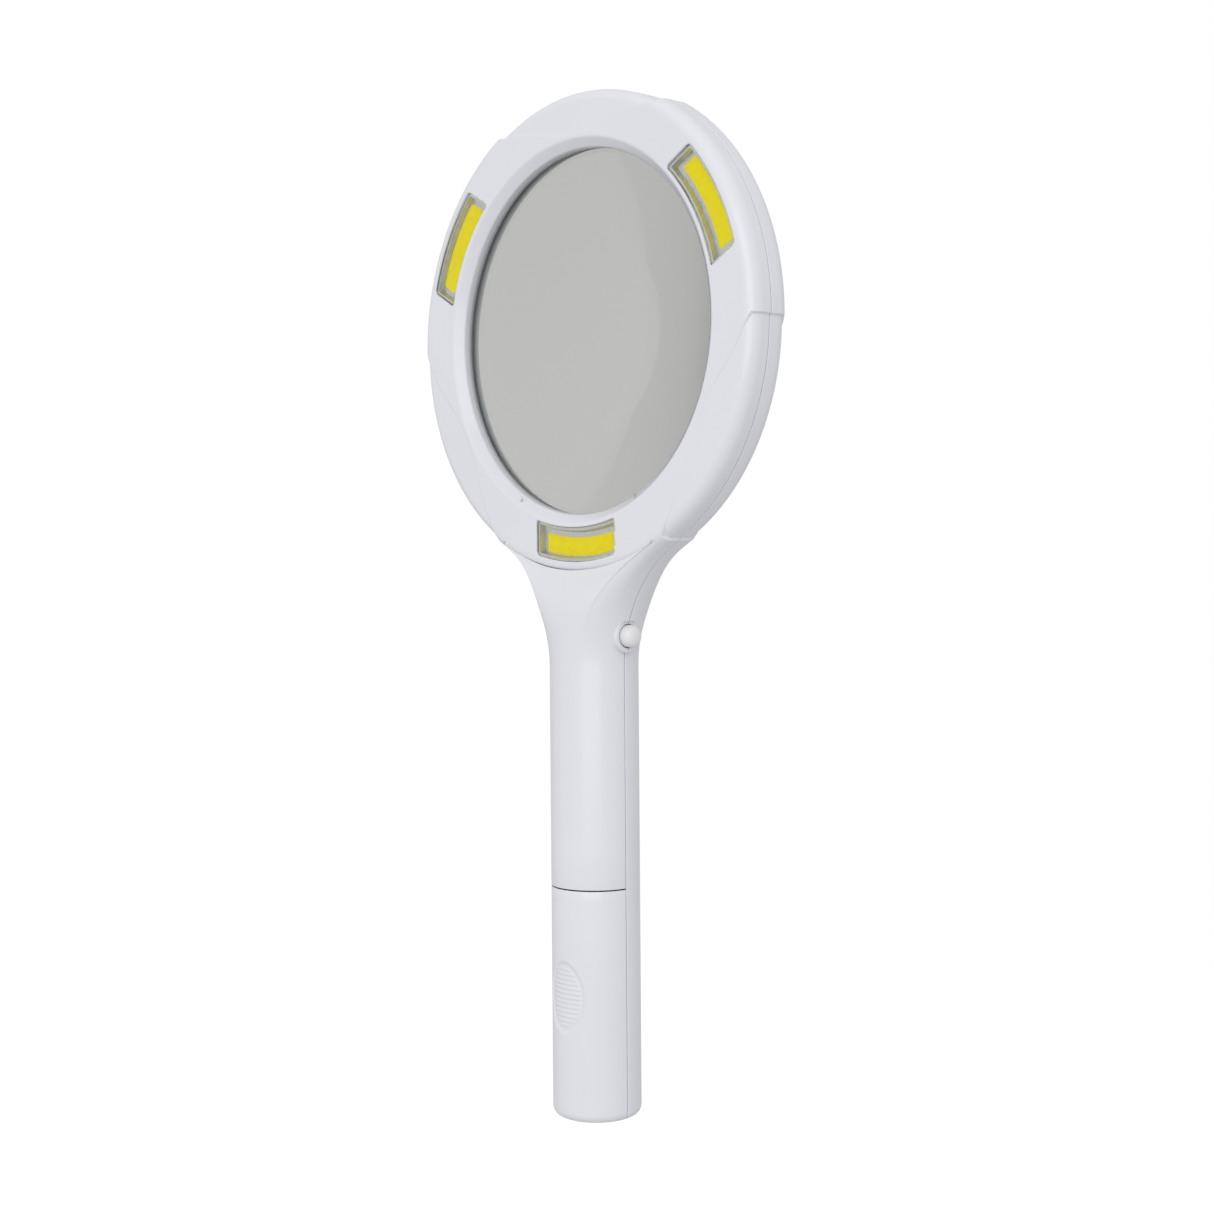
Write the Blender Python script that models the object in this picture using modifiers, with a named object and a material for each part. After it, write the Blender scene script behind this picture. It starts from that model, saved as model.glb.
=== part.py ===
"""Illuminated hand magnifier: a round lens held between two plastic half shells, three arc-shaped
LED windows in the rim, and a round handle with three AAA cells behind a sliding door.

World frame, +Z up: the handle's axis is Z, the lens faces -Y, and the origin is the middle of the
grip, on the handle's axis. Sizes below are in millimetres; MM turns them into metres.
"""

from math import atan2, cos, degrees, hypot, pi, radians, sin, sqrt

import bmesh
import bpy
from mathutils import Matrix, Vector

MM = 0.001

# Driving dimensions, mm
RING_Z = 160.0            # height of the lens's centre above the middle of the grip
PAD_R = 71.6              # rim radius at the raised pads
LIP_R = 53.5              # clear radius in front of the lens
LIP_Y = 4.95              # depth of the lip's front edge from the seam plane
FACE_R = 56.3             # radius where the lip's chamfer meets the front face
FACE_Y = 7.5              # depth of the front face from the seam plane
ROUND_R = 3.3             # rim rounding, across the radius
ROUND_Y = 4.1             # rim rounding, along the depth
WALL = 1.5                # shell thickness
SEAM = 0.15               # half of the gap between the two shells
HANDLE_R = 13.2
HANDLE_END_Z = -72.1
END_FILLET = 2.8
NECK_FILLET = 40.0        # plan radius between handle and rim
NECK_START = 95.0         # height at which the neck starts to deepen from the rim to the handle
NECK_RISE = 22.0          # height over which it does so
DOOR_Z = -3.5             # line between the front shell and the battery door
GAP = 0.3

# Raised pads carry the windows, and three shallow crescents lie between them
PAD_ANGLES = (30.0, 150.0, 270.0)
CRESCENT_ANGLES = (90.0, 210.0, 330.0)
CRESCENT_HALF = 29.2      # degrees at the rim
CRESCENT_IN = 57.5        # radius of a crescent's inner edge at its middle
CRESCENT_BOW = 146.0      # radius of that bowed edge
CRESCENT_RIM_TOP = 1.5    # how far the rim steps in along the top crescent
CRESCENT_RIM_END = 0.7    # and at the ends and the middle of the two lower ones
CRESCENT_RIM_MIDDLE = 0.3
CRESCENT_DEEP = 0.35      # how deep the face steps in at the rim
CRESCENT_SHALLOW = 0.15   # and at the inner edge
STEP_DEG = 0.3
STEP_MM = 0.2

# Lens
LENS_R = 55.0
LENS_EDGE = 1.9           # half thickness at the edge
LENS_MIDDLE = 6.6         # half thickness at the centre
SEAT_R = 55.3
SEAT_OUT = 56.5

# LED windows
WINDOW_IN = 57.44
WINDOW_OUT = 67.42
WINDOW_HALF = 17.0
STRIP_IN = 60.3
STRIP_OUT = 65.7
STRIP_HALF = 14.05
COVER_WALL = 0.7
COVER_TOP = 0.8
STRIP_Y = (-5.1, -4.4)
BOARD_Y = (-4.1, -3.3)
REFLECTOR_Y = (-5.9, -4.4)

# Power button, on the +X side
BUTTON_Z = 70.8
BUTTON_R = 3.3
BUTTON_TIP = 18.3
COLLAR_R = 5.0
COLLAR_OUT = 14.9
COLLAR_IN = 11.2
BUTTON_HOLE = 3.6
FLANGE_X = (9.6, 10.6)
SWITCH_X = (4.4, 7.7)
SWITCH_SIDE = 6.0
SWITCH_BOARD_X = (3.0, 4.1)

# Battery bay
BAY_TOP = (-8.0, -6.4)    # upper partition, low and high z
BAY_END = (-64.6, -63.0)  # lower partition
CELL_R = 5.15
CELL_LENGTH = 44.5
CELL_PITCH = 6.12         # each cell's distance from the handle's axis
CELLS = ((150.0, 1), (270.0, -1), (30.0, 1))   # angle seen from above (90 is the back), + end up or down
PLATE = 0.5

# Screws, driven from the back
SCREW_RING_R = 62.5
NECK_SCREW_Z = 85.5
NECK_SCREW_WALL = 10.9    # depth of the neck's outer surface there
NECK_SCREW_SLOPE = -0.378    # and its change with height
SCREW_PLACES = {
    "screw_ring_top": (0.0, RING_Z + SCREW_RING_R),
    "screw_ring_left": (-SCREW_RING_R * cos(radians(30)), RING_Z - SCREW_RING_R * 0.5),
    "screw_ring_right": (SCREW_RING_R * cos(radians(30)), RING_Z - SCREW_RING_R * 0.5),
    "screw_neck": (0.0, NECK_SCREW_Z),
    "screw_handle": (0.0, 20.0),
}
SCREW_FLOOR = 3.0         # depth of the seat under each head
HEAD_R = 2.5
SHANK_R = 1.2
WELL_R = 2.9
BOSS_R = 3.7

WIRE_R = 0.6

# Outline of the neck: an arc that touches the handle's side and the rim
NECK_X = HANDLE_R + NECK_FILLET
NECK_Z = RING_Z - sqrt((PAD_R + NECK_FILLET) ** 2 - NECK_X ** 2)
NECK_HALF = degrees(atan2(NECK_X, RING_Z - NECK_Z))

# Mesh steps
CRESCENT_STEPS = 6
PAD_STEPS = 6
NECK_STEPS = 6
NECK_ROWS = 6
ROUND_STEPS = 3
STRIP_BETA = 60.0


def clear_scene():
    for obj in list(bpy.data.objects):
        bpy.data.objects.remove(obj, do_unlink=True)


def make_collection(name):
    collection = bpy.data.collections.new(name)
    bpy.context.scene.collection.children.link(collection)
    return collection


clear_scene()
PARTS = make_collection("hand_magnifier")
CUTTERS = make_collection("cutters")


def finish(name, colour, roughness, metallic=0.0, transmission=0.0):
    material = bpy.data.materials.new(name)
    material.use_nodes = True
    shader = material.node_tree.nodes["Principled BSDF"]
    shader.inputs["Base Color"].default_value = (*colour, 1.0)
    shader.inputs["Roughness"].default_value = roughness
    shader.inputs["Metallic"].default_value = metallic
    shader.inputs["Transmission Weight"].default_value = transmission
    return material


WHITE = finish("white_plastic", (0.72, 0.73, 0.77), 0.28)
GLASS = finish("lens_glass", (0.93, 0.96, 0.95), 0.02, 0.0, 1.0)
CLEAR = finish("clear_plastic", (0.95, 0.96, 0.95), 0.05, 0.0, 1.0)
PHOSPHOR = finish("yellow_phosphor", (0.72, 0.66, 0.01), 0.5)
MIRRORED = finish("metallised_plastic", (0.62, 0.62, 0.58), 0.15, 1.0)
CIRCUIT = finish("circuit_board", (0.72, 0.74, 0.70), 0.45)
NICKEL = finish("nickel_plate", (0.66, 0.64, 0.60), 0.25, 1.0)
ZINC = finish("zinc_screw", (0.55, 0.56, 0.58), 0.3, 1.0)
BLACK = finish("black_plastic", (0.02, 0.02, 0.02), 0.4)
CELL_JACKET = finish("cell_jacket", (0.08, 0.16, 0.30), 0.35)
RED_WIRE = finish("red_insulation", (0.55, 0.03, 0.03), 0.4)
BLACK_WIRE = finish("black_insulation", (0.02, 0.02, 0.02), 0.4)


def add_object(name, bm, material, collection=PARTS):
    """Turns a bmesh in millimetres into an object in metres."""
    bmesh.ops.scale(bm, vec=(MM, MM, MM), verts=bm.verts)
    mesh = bpy.data.meshes.new(name)
    bm.to_mesh(mesh)
    bm.free()
    obj = bpy.data.objects.new(name, mesh)
    collection.objects.link(obj)
    if material:
        mesh.materials.append(material)
    if collection is CUTTERS:
        obj.hide_render = True
        obj.display_type = "WIRE"
    return obj


def boolean(obj, tool, operation):
    modifier = obj.modifiers.new(operation.lower() + "_" + tool.name, "BOOLEAN")
    modifier.operation = operation
    modifier.object = tool
    modifier.solver = "EXACT"


def thicken(obj, thickness):
    modifier = obj.modifiers.new("wall", "SOLIDIFY")
    modifier.thickness = thickness * MM
    modifier.offset = -1.0
    modifier.use_even_offset = True


def ring_point(angle, radius, y):
    a = radians(angle)
    return Vector((radius * cos(a), y, RING_Z + radius * sin(a)))


def step(t):
    """Smooth rise from 0 to 1."""
    t = min(max(t, 0.0), 1.0)
    return t * t * (3.0 - 2.0 * t)


# ---- outer skin of a half shell, built for the front; the back one is its mirror ----

def crescent_edge(phi):
    """Radius of a crescent's bowed inner edge, phi degrees from its middle."""
    c = cos(radians(phi))
    s = sin(radians(phi)) ** 2 / (2.0 * CRESCENT_BOW)
    if s < 1e-9:
        return CRESCENT_IN
    return (c - sqrt(c * c - 4.0 * s * CRESCENT_IN)) / (2.0 * s)


def turn_from(angle, middle):
    """Degrees between two directions, 0 to 180."""
    return abs((angle - middle + 180.0) % 360.0 - 180.0)


def break_radius(angle):
    """The mesh row that follows the crescents' edges and relaxes across the pads."""
    off = min(turn_from(angle, a) for a in CRESCENT_ANGLES)
    if off < CRESCENT_HALF:
        return min(crescent_edge(off), 66.0)
    return 62.0 + 4.0 * max(0.0, 1.0 - (off - CRESCENT_HALF) / 10.0) ** 2


def face_depth(radius, low):
    if not low:
        return FACE_Y
    t = min(max((radius - CRESCENT_IN) / (67.0 - CRESCENT_IN), 0.0), 1.0)
    return FACE_Y - CRESCENT_SHALLOW - (CRESCENT_DEEP - CRESCENT_SHALLOW) * t


def rim_radius(angle, low):
    """Outline of the rim, which steps in along the crescents."""
    if not low:
        return PAD_R
    if turn_from(angle, 90.0) < 32.0:
        return PAD_R - CRESCENT_RIM_TOP
    off = min(turn_from(angle, a) for a in CRESCENT_ANGLES) / CRESCENT_HALF
    return PAD_R - CRESCENT_RIM_MIDDLE - (CRESCENT_RIM_END - CRESCENT_RIM_MIDDLE) * off ** 2


def inner_column(angle, low):
    """Lip, chamfer and face, as (radius, depth)."""
    edge = break_radius(angle)
    points = [(LIP_R, LENS_EDGE + 0.6), (LIP_R, LIP_Y), (FACE_R, FACE_Y)]
    points.append((edge - STEP_MM, FACE_Y))
    points.append((edge + STEP_MM, face_depth(edge, low)))
    return points


def outer_column(angle, low):
    """From the break row over the rim's rounding to the seam, as (radius, depth)."""
    start = break_radius(angle) + STEP_MM
    rim = rim_radius(angle, low)
    depth = face_depth(rim, low)
    flat = rim - ROUND_R
    points = [(start, face_depth(start, low)), ((start + flat) / 2, face_depth((start + flat) / 2, low))]
    for i in range(ROUND_STEPS + 1):
        t = 0.5 * pi * i / ROUND_STEPS
        points.append((flat + ROUND_R * sin(t), depth - ROUND_Y * (1.0 - cos(t))))
    points.append((rim, SEAM))
    return points


def rim_columns():
    """(angle, low) from one side of the neck round the top to the other."""
    columns = [(270.0 + NECK_HALF, False)]
    edges = [a + side * CRESCENT_HALF for a in (330.0, 450.0, 570.0) for side in (-1, 1)]
    low = False
    for start, end in zip(edges, edges[1:] + [630.0 - NECK_HALF]):
        columns.append((start - STEP_DEG, low))
        low = not low
        steps = CRESCENT_STEPS if low else PAD_STEPS
        if end > 600.0:
            steps = 1
        first = start + STEP_DEG
        last = end - STEP_DEG if end < 600.0 else end
        columns += [(first + (last - first) * i / steps, low) for i in range(steps)]
    columns.append((630.0 - NECK_HALF, False))
    return columns


def add_patch(bm, rows):
    """Joins rows of points, all of one length, into a sheet of quads."""
    grid = [[bm.verts.new(p) for p in row] for row in rows]
    for a, b in zip(grid, grid[1:]):
        for i in range(len(a) - 1):
            bm.faces.new((a[i], a[i + 1], b[i + 1], b[i]))


def half_circle(radius, z, betas):
    """A row round the front of the handle, from +X to -X, its ends on the seam."""
    deep = max(radius - SEAM, 0.0)
    return [Vector((radius * cos(radians(b)), -SEAM - deep * sin(radians(b)), z)) for b in betas]


def neck_betas():
    strip = len(outer_column(270.0 + NECK_HALF, False)) - 1
    side = [STRIP_BETA * i / strip for i in range(strip)]
    middle = [STRIP_BETA + (180.0 - 2 * STRIP_BETA) * i / NECK_STEPS for i in range(NECK_STEPS + 1)]
    return side + middle + [180.0 - b for b in reversed(side)]


def neck_deepening(z):
    """0 where the neck is as flat as the rim, 1 where it is as deep as the handle."""
    return step((NECK_START - z) / NECK_RISE)


def neck_depth(z):
    return FACE_Y + (HANDLE_R - FACE_Y) * neck_deepening(z)


def neck_row(w):
    """One row across the neck: w is 0 at the rim and 1 at the handle."""
    alpha = radians(180.0 - (180.0 - 90.0 - NECK_HALF) * (1.0 - w))
    edge = Vector((NECK_X + NECK_FILLET * cos(alpha), NECK_Z + NECK_FILLET * sin(alpha)))
    inward = Vector((cos(alpha), sin(alpha)))
    blend = step(w)
    rim = [(PAD_R - r, y) for r, y in reversed(outer_column(270.0 + NECK_HALF, False))]
    last = len(rim) - 1
    side = []
    for i, (d, y) in enumerate(rim):
        beta = radians(STRIP_BETA * i / last)
        round_d = HANDLE_R * (1.0 - cos(beta))
        round_y = SEAM + (HANDLE_R - SEAM) * sin(beta)
        d = d + (round_d - d) * blend
        z = edge.y + inward.y * d
        square_y = SEAM + (y - SEAM) * (neck_depth(z) - SEAM) / (FACE_Y - SEAM)
        y = square_y + (round_y - square_y) * blend
        side.append(Vector((edge.x + inward.x * d, -y, z)))
    corner = side[-1]
    arc_r = PAD_R - rim[-1][0]
    middle = []
    for i in range(1, NECK_STEPS):
        c = 1.0 - 2.0 * i / NECK_STEPS
        flat = sin(radians(NECK_HALF * c)) / sin(radians(NECK_HALF))
        turned = sin(radians((90.0 - STRIP_BETA) * c)) / sin(radians(90.0 - STRIP_BETA))
        sag = arc_r * (cos(radians(NECK_HALF * c)) - cos(radians(NECK_HALF)))
        z = corner.z - sag * (1.0 - blend)
        round_y = SEAM + (HANDLE_R - SEAM) * cos(radians((90.0 - STRIP_BETA) * c))
        y = neck_depth(z) + (round_y - neck_depth(z)) * blend
        middle.append(Vector((corner.x * (flat + (turned - flat) * blend), -y, z)))
    mirrored = [Vector((-p.x, p.y, p.z)) for p in reversed(side)]
    return side + middle + mirrored


def skin(end_rows):
    """Outer surface of a front half shell down to the given rows of the handle."""
    bm = bmesh.new()
    columns = rim_columns()
    add_patch(bm, [[ring_point(a, r, -y) for r, y in inner_column(a, low)] for a, low in columns])
    low_arc = [630.0 - NECK_HALF + 2 * NECK_HALF * i / NECK_STEPS for i in range(NECK_STEPS + 1)]
    add_patch(bm, [[ring_point(a, r, -y) for r, y in pad_arc_column(a)] for a in low_arc])
    add_patch(bm, [[ring_point(a, r, -y) for r, y in outer_column(a, low)] for a, low in columns])
    rows = [neck_row(j / NECK_ROWS) for j in range(NECK_ROWS + 1)] + end_rows
    add_patch(bm, rows)
    bmesh.ops.remove_doubles(bm, verts=bm.verts, dist=0.005)
    bmesh.ops.recalc_face_normals(bm, faces=bm.faces)
    front = max(bm.faces, key=lambda f: f.calc_area() * (f.calc_center_median().z < 40.0))
    if front.normal.y > 0:
        bmesh.ops.reverse_faces(bm, faces=bm.faces)
    return bm


def pad_arc_column(angle):
    """As inner_column, but ending on the arc from which the neck starts."""
    points = inner_column(angle, False)
    end = break_radius(270.0 + NECK_HALF) + STEP_MM
    return points[:3] + [(end - 2 * STEP_MM, FACE_Y), (end, FACE_Y)]


def end_cap_rows(betas):
    """The handle's rounded lower end, closing on its axis."""
    centre = HANDLE_END_Z + END_FILLET
    rows = []
    for i in range(1, 4):
        t = radians(30.0 * i)
        radius = HANDLE_R - END_FILLET + END_FILLET * cos(t)
        rows.append(half_circle(radius, centre - END_FILLET * sin(t), betas))
    rows.append(half_circle(5.0, HANDLE_END_Z, betas))
    rows.append([Vector((0.0, -SEAM, HANDLE_END_Z)) for b in betas])
    return rows


def mirror_back(bm):
    bmesh.ops.scale(bm, vec=(1, -1, 1), verts=bm.verts)
    bmesh.ops.reverse_faces(bm, faces=bm.faces)
    return bm


# ---- small solids ----

def cylinder(bm, radius, start, end, segments=32, radius_end=None):
    """A closed cylinder or cone between two points, mm."""
    start = Vector(start)
    end = Vector(end)
    along = end - start
    made = bmesh.ops.create_cone(
        bm, cap_ends=True, segments=segments, radius1=radius,
        radius2=radius if radius_end is None else radius_end, depth=along.length)
    turn = along.to_track_quat("Z", "Y").to_matrix().to_4x4()
    bmesh.ops.transform(bm, matrix=Matrix.Translation((start + end) / 2) @ turn, verts=made["verts"])
    return made["verts"]


def box(bm, low, high):
    low = Vector(low)
    high = Vector(high)
    made = bmesh.ops.create_cube(bm, size=1.0)
    bmesh.ops.scale(bm, vec=high - low, verts=made["verts"])
    bmesh.ops.translate(bm, vec=(low + high) / 2, verts=made["verts"])
    return made["verts"]


def slab(bm, outline, y0, y1):
    """An outline of (x, z) points, extruded from y0 to y1."""
    face = bm.faces.new([bm.verts.new((x, y0, z)) for x, z in outline])
    made = bmesh.ops.extrude_face_region(bm, geom=[face])
    verts = [v for v in made["geom"] if isinstance(v, bmesh.types.BMVert)]
    bmesh.ops.translate(bm, vec=(0, y1 - y0, 0), verts=verts)
    bmesh.ops.recalc_face_normals(bm, faces=bm.faces)


def window_outline(angle, r_in, r_out, half, corner, steps=8):
    """A window's shape: concentric arcs, parallel ends and round corners, as (x, z) points."""
    edge = half - corner
    outer = sqrt(r_out ** 2 - edge ** 2)
    inner = sqrt(r_in ** 2 - edge ** 2)
    local = []

    def arc(radius, first, last):
        for i in range(1, steps):
            s = first + (last - first) * i / steps
            local.append((sqrt(radius ** 2 - s ** 2), s))

    def round_corner(u, v, first):
        for i in range(4):
            t = radians(first + 30.0 * i)
            local.append((u + corner * cos(t), v + corner * sin(t)))

    arc(r_out, -edge, edge)
    round_corner(outer - corner, edge, 0.0)
    round_corner(inner + corner, edge, 90.0)
    arc(r_in, edge, -edge)
    round_corner(inner + corner, -edge, 180.0)
    round_corner(outer - corner, -edge, 270.0)
    turn = radians(angle)
    return [(u * cos(turn) - v * sin(turn), RING_Z + u * sin(turn) + v * cos(turn)) for u, v in local]


def turned(name, profile, matrix, material, steps=32, collection=PARTS):
    """A profile of (radius, height), top to bottom on its outer side, screwed about its axis."""
    mesh = bpy.data.meshes.new(name)
    verts = [(r * MM, 0.0, h * MM) for r, h in profile]
    mesh.from_pydata(verts, [(i, i + 1) for i in range(len(verts) - 1)], [])
    obj = bpy.data.objects.new(name, mesh)
    collection.objects.link(obj)
    if material:
        mesh.materials.append(material)
    obj.matrix_world = matrix
    screw = obj.modifiers.new("turn", "SCREW")
    screw.steps = steps
    screw.render_steps = steps
    screw.use_merge_vertices = True
    screw.merge_threshold = 0.00001
    screw.use_smooth_shade = True
    if collection is CUTTERS:
        obj.hide_render = True
        obj.display_type = "WIRE"
    return obj


def along(axis, place):
    """A matrix that puts local Z along axis at a place given in millimetres."""
    return Matrix.Translation(Vector(place) * MM) @ Vector(axis).to_track_quat("Z", "Y").to_matrix().to_4x4()


# ---- the two shells and the door ----

def seat_ring(side):
    """The wall that the lens's edge sits in; it backs the lip and closes the light channel."""
    bm = bmesh.new()
    profile = [(SEAT_OUT, SEAM), (SEAT_R, SEAM), (SEAT_R, 2.6), (54.2, 2.6), (54.2, 4.6), (SEAT_OUT, 6.6)]
    rows = []
    for i in range(48):
        rows.append([bm.verts.new(ring_point(7.5 * i, r, side * y)) for r, y in profile])
    for a, b in zip(rows, rows[1:] + rows[:1]):
        for j in range(len(profile)):
            k = (j + 1) % len(profile)
            bm.faces.new((a[j], a[k], b[k], b[j]))
    bmesh.ops.recalc_face_normals(bm, faces=bm.faces)
    return add_object("seat_front" if side < 0 else "seat_back", bm, None, CUTTERS)


def wall_depth(x, z):
    """Depth of the shell's outer surface over a screw place."""
    if z > NECK_START:
        return face_depth(hypot(x, z - RING_Z), True)
    return NECK_SCREW_WALL if z == NECK_SCREW_Z else HANDLE_R


def collar(side):
    """Half of the round boss that the button moves in."""
    bm = bmesh.new()
    cylinder(bm, COLLAR_R, (COLLAR_IN, 0, BUTTON_Z), (COLLAR_OUT - 0.5, 0, BUTTON_Z), 32)
    cylinder(bm, COLLAR_R, (COLLAR_OUT - 0.5, 0, BUTTON_Z), (COLLAR_OUT, 0, BUTTON_Z), 32, COLLAR_R - 0.5)
    bmesh.ops.remove_doubles(bm, verts=bm.verts, dist=0.001)
    inside = [f for f in bm.faces if abs(f.calc_center_median().x - (COLLAR_OUT - 0.5)) < 0.01]
    bmesh.ops.delete(bm, geom=inside, context="FACES_ONLY")
    cut = bmesh.ops.bisect_plane(
        bm, geom=bm.verts[:] + bm.edges[:] + bm.faces[:], plane_co=(0, side * (SEAM + 0.12), 0),
        plane_no=(0, side, 0), clear_inner=True)
    edges = [e for e in cut["geom_cut"] if isinstance(e, bmesh.types.BMEdge)]
    bmesh.ops.holes_fill(bm, edges=edges)
    bmesh.ops.recalc_face_normals(bm, faces=bm.faces)
    return add_object("collar_front" if side < 0 else "collar_back", bm, None, CUTTERS)


def button_bore():
    bm = bmesh.new()
    made = cylinder(bm, BUTTON_HOLE, (COLLAR_IN - 0.6, 0, BUTTON_Z), (COLLAR_OUT + 3, 0, BUTTON_Z), 30)
    turn = Matrix.Rotation(radians(6.0), 3, "X")
    bmesh.ops.rotate(bm, cent=(0, 0, BUTTON_Z), matrix=turn, verts=made)
    return add_object("button_bore", bm, None, CUTTERS)


def window_cuts():
    bm = bmesh.new()
    for angle in PAD_ANGLES:
        outline = window_outline(angle, WINDOW_IN - 0.3, WINDOW_OUT + 0.3, WINDOW_HALF + 0.3, 1.2)
        slab(bm, outline, -12.0, -4.6)
    return add_object("window_cuts", bm, None, CUTTERS)


def boss(bm, radius, x, z, side, segments):
    """A post from the seam into the wall; on the neck its end has the wall's slope."""
    verts = cylinder(bm, radius, (x, side * GAP, z), (x, side * (wall_depth(x, z) - 0.7), z), segments)
    if z == NECK_SCREW_Z:
        for vert in verts:
            if abs(vert.co.y) > 1.0:
                vert.co.y += side * NECK_SCREW_SLOPE * (vert.co.z - z)


def front_bosses():
    """Blind posts that the screws bite into."""
    bm = bmesh.new()
    for x, z in SCREW_PLACES.values():
        boss(bm, 3.0, x, z, -1, 20)
    return add_object("front_bosses", bm, None, CUTTERS)


def front_boss_holes():
    bm = bmesh.new()
    for x, z in SCREW_PLACES.values():
        cylinder(bm, SHANK_R + 0.25, (x, 0.5, z), (x, -4.6, z), 16)
    return add_object("front_boss_holes", bm, None, CUTTERS)


def back_bosses():
    bm = bmesh.new()
    for x, z in SCREW_PLACES.values():
        boss(bm, BOSS_R, x, z, 1, 24)
    return add_object("back_bosses", bm, None, CUTTERS)


def back_boss_holes():
    bm = bmesh.new()
    for x, z in SCREW_PLACES.values():
        cylinder(bm, SHANK_R + 0.4, (x, -0.5, z), (x, SCREW_FLOOR + 0.5, z), 16)
    return add_object("back_boss_holes", bm, None, CUTTERS)


def back_wells():
    bm = bmesh.new()
    for x, z in SCREW_PLACES.values():
        cylinder(bm, WELL_R, (x, SCREW_FLOOR, z), (x, 16.0, z), 24)
    return add_object("back_wells", bm, None, CUTTERS)


def partition(name, z0, z1):
    """A disc across the handle, joined to the back wall and clear of the door."""
    bm = bmesh.new()
    cylinder(bm, HANDLE_R - WALL - 0.5, (0, 0, z0), (0, 0, z1), 48)
    disc = add_object(name, bm, None, CUTTERS)
    bm = bmesh.new()
    cylinder(bm, HANDLE_R - 0.6, (0, 0, z0 + 0.05), (0, 0, z1 - 0.05), 48)
    cut = bmesh.ops.bisect_plane(
        bm, geom=bm.verts[:] + bm.edges[:] + bm.faces[:], plane_co=(0, 1.0, 0),
        plane_no=(0, 1, 0), clear_inner=True)
    bmesh.ops.holes_fill(bm, edges=[e for e in cut["geom_cut"] if isinstance(e, bmesh.types.BMEdge)])
    bmesh.ops.recalc_face_normals(bm, faces=bm.faces)
    root = add_object(name + "_root", bm, None, CUTTERS)
    boolean(disc, root, "UNION")
    return disc


def cell_centre(index):
    angle = radians(CELLS[index][0])
    return CELL_PITCH * cos(angle), CELL_PITCH * sin(angle)


NEGATIVE_WIRE = (0.0, 10.0)


def partition_holes():
    """Where the two supply wires leave the battery bay."""
    bm = bmesh.new()
    for x, y in (cell_centre(0), NEGATIVE_WIRE):
        cylinder(bm, WIRE_R + 0.35, (x, y, BAY_TOP[0] - 1), (x, y, BAY_TOP[1] + 1), 12)
    return add_object("partition_holes", bm, None, CUTTERS)


def board_rib():
    """A post with a slot that holds the switch board."""
    bm = bmesh.new()
    box(bm, (SWITCH_BOARD_X[0] - 1.4, 7.3, BUTTON_Z - 4), (SWITCH_BOARD_X[1] + 1.4, 11.7, BUTTON_Z + 4))
    return add_object("board_rib", bm, None, CUTTERS)


def make_front_shell():
    rows = [half_circle(HANDLE_R, z, neck_betas()) for z in (30.0, DOOR_Z + SEAM)]
    shell = add_object("front_shell", skin(rows), WHITE)
    thicken(shell, WALL)
    boolean(shell, seat_ring(-1), "UNION")
    boolean(shell, front_bosses(), "UNION")
    boolean(shell, collar(-1), "UNION")
    boolean(shell, window_cuts(), "DIFFERENCE")
    boolean(shell, front_boss_holes(), "DIFFERENCE")
    boolean(shell, BORE, "DIFFERENCE")
    return shell


def make_back_shell():
    betas = neck_betas()
    rows = [half_circle(HANDLE_R, z, betas) for z in (30.0, HANDLE_END_Z + END_FILLET)]
    shell = add_object("back_shell", mirror_back(skin(rows + end_cap_rows(betas))), WHITE)
    thicken(shell, WALL)
    boolean(shell, seat_ring(1), "UNION")
    boolean(shell, back_bosses(), "UNION")
    boolean(shell, collar(1), "UNION")
    boolean(shell, partition("bay_top", *BAY_TOP), "UNION")
    boolean(shell, partition("bay_end", *BAY_END), "UNION")
    boolean(shell, board_rib(), "UNION")
    boolean(shell, back_wells(), "DIFFERENCE")
    boolean(shell, back_boss_holes(), "DIFFERENCE")
    boolean(shell, BORE, "DIFFERENCE")
    boolean(shell, partition_holes(), "DIFFERENCE")
    return shell


def make_door():
    """The front half of the handle's lower end; it slides down off its rails."""
    betas = [180.0 * i / 24 for i in range(25)]
    rows = [half_circle(HANDLE_R, z, betas) for z in (DOOR_Z - SEAM, HANDLE_END_Z + END_FILLET)]
    bm = bmesh.new()
    add_patch(bm, rows + end_cap_rows(betas))
    bmesh.ops.remove_doubles(bm, verts=bm.verts, dist=0.005)
    if max(bm.faces, key=lambda f: f.calc_area()).normal.y > 0:
        bmesh.ops.reverse_faces(bm, faces=bm.faces)
    door = add_object("battery_door", bm, WHITE)
    thicken(door, WALL)
    return door


# ---- lens and lights ----

def make_lens():
    sphere = (LENS_R ** 2 + (LENS_MIDDLE - LENS_EDGE) ** 2) / (2 * (LENS_MIDDLE - LENS_EDGE))
    radii = [LENS_R * i / 6 for i in range(7)]
    top = [(r, LENS_MIDDLE - sphere + sqrt(sphere ** 2 - r ** 2)) for r in radii]
    profile = top + [(r, -h) for r, h in reversed(top)]
    return turned("lens", profile, along((0, -1, 0), (0, 0, RING_Z)), GLASS, 56)


def make_cover(name, angle):
    """A clear tray, its open side to the back."""
    bm = bmesh.new()
    slab(bm, window_outline(angle, WINDOW_IN, WINDOW_OUT, WINDOW_HALF, 1.0), -FACE_Y, BOARD_Y[1])
    cover = add_object(name, bm, CLEAR)
    bm = bmesh.new()
    outline = window_outline(
        angle, WINDOW_IN + COVER_WALL, WINDOW_OUT - COVER_WALL, WINDOW_HALF - COVER_WALL, 0.6)
    slab(bm, outline, -FACE_Y + COVER_TOP, 0.0)
    boolean(cover, add_object(name + "_hollow", bm, None, CUTTERS), "DIFFERENCE")
    return cover


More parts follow.
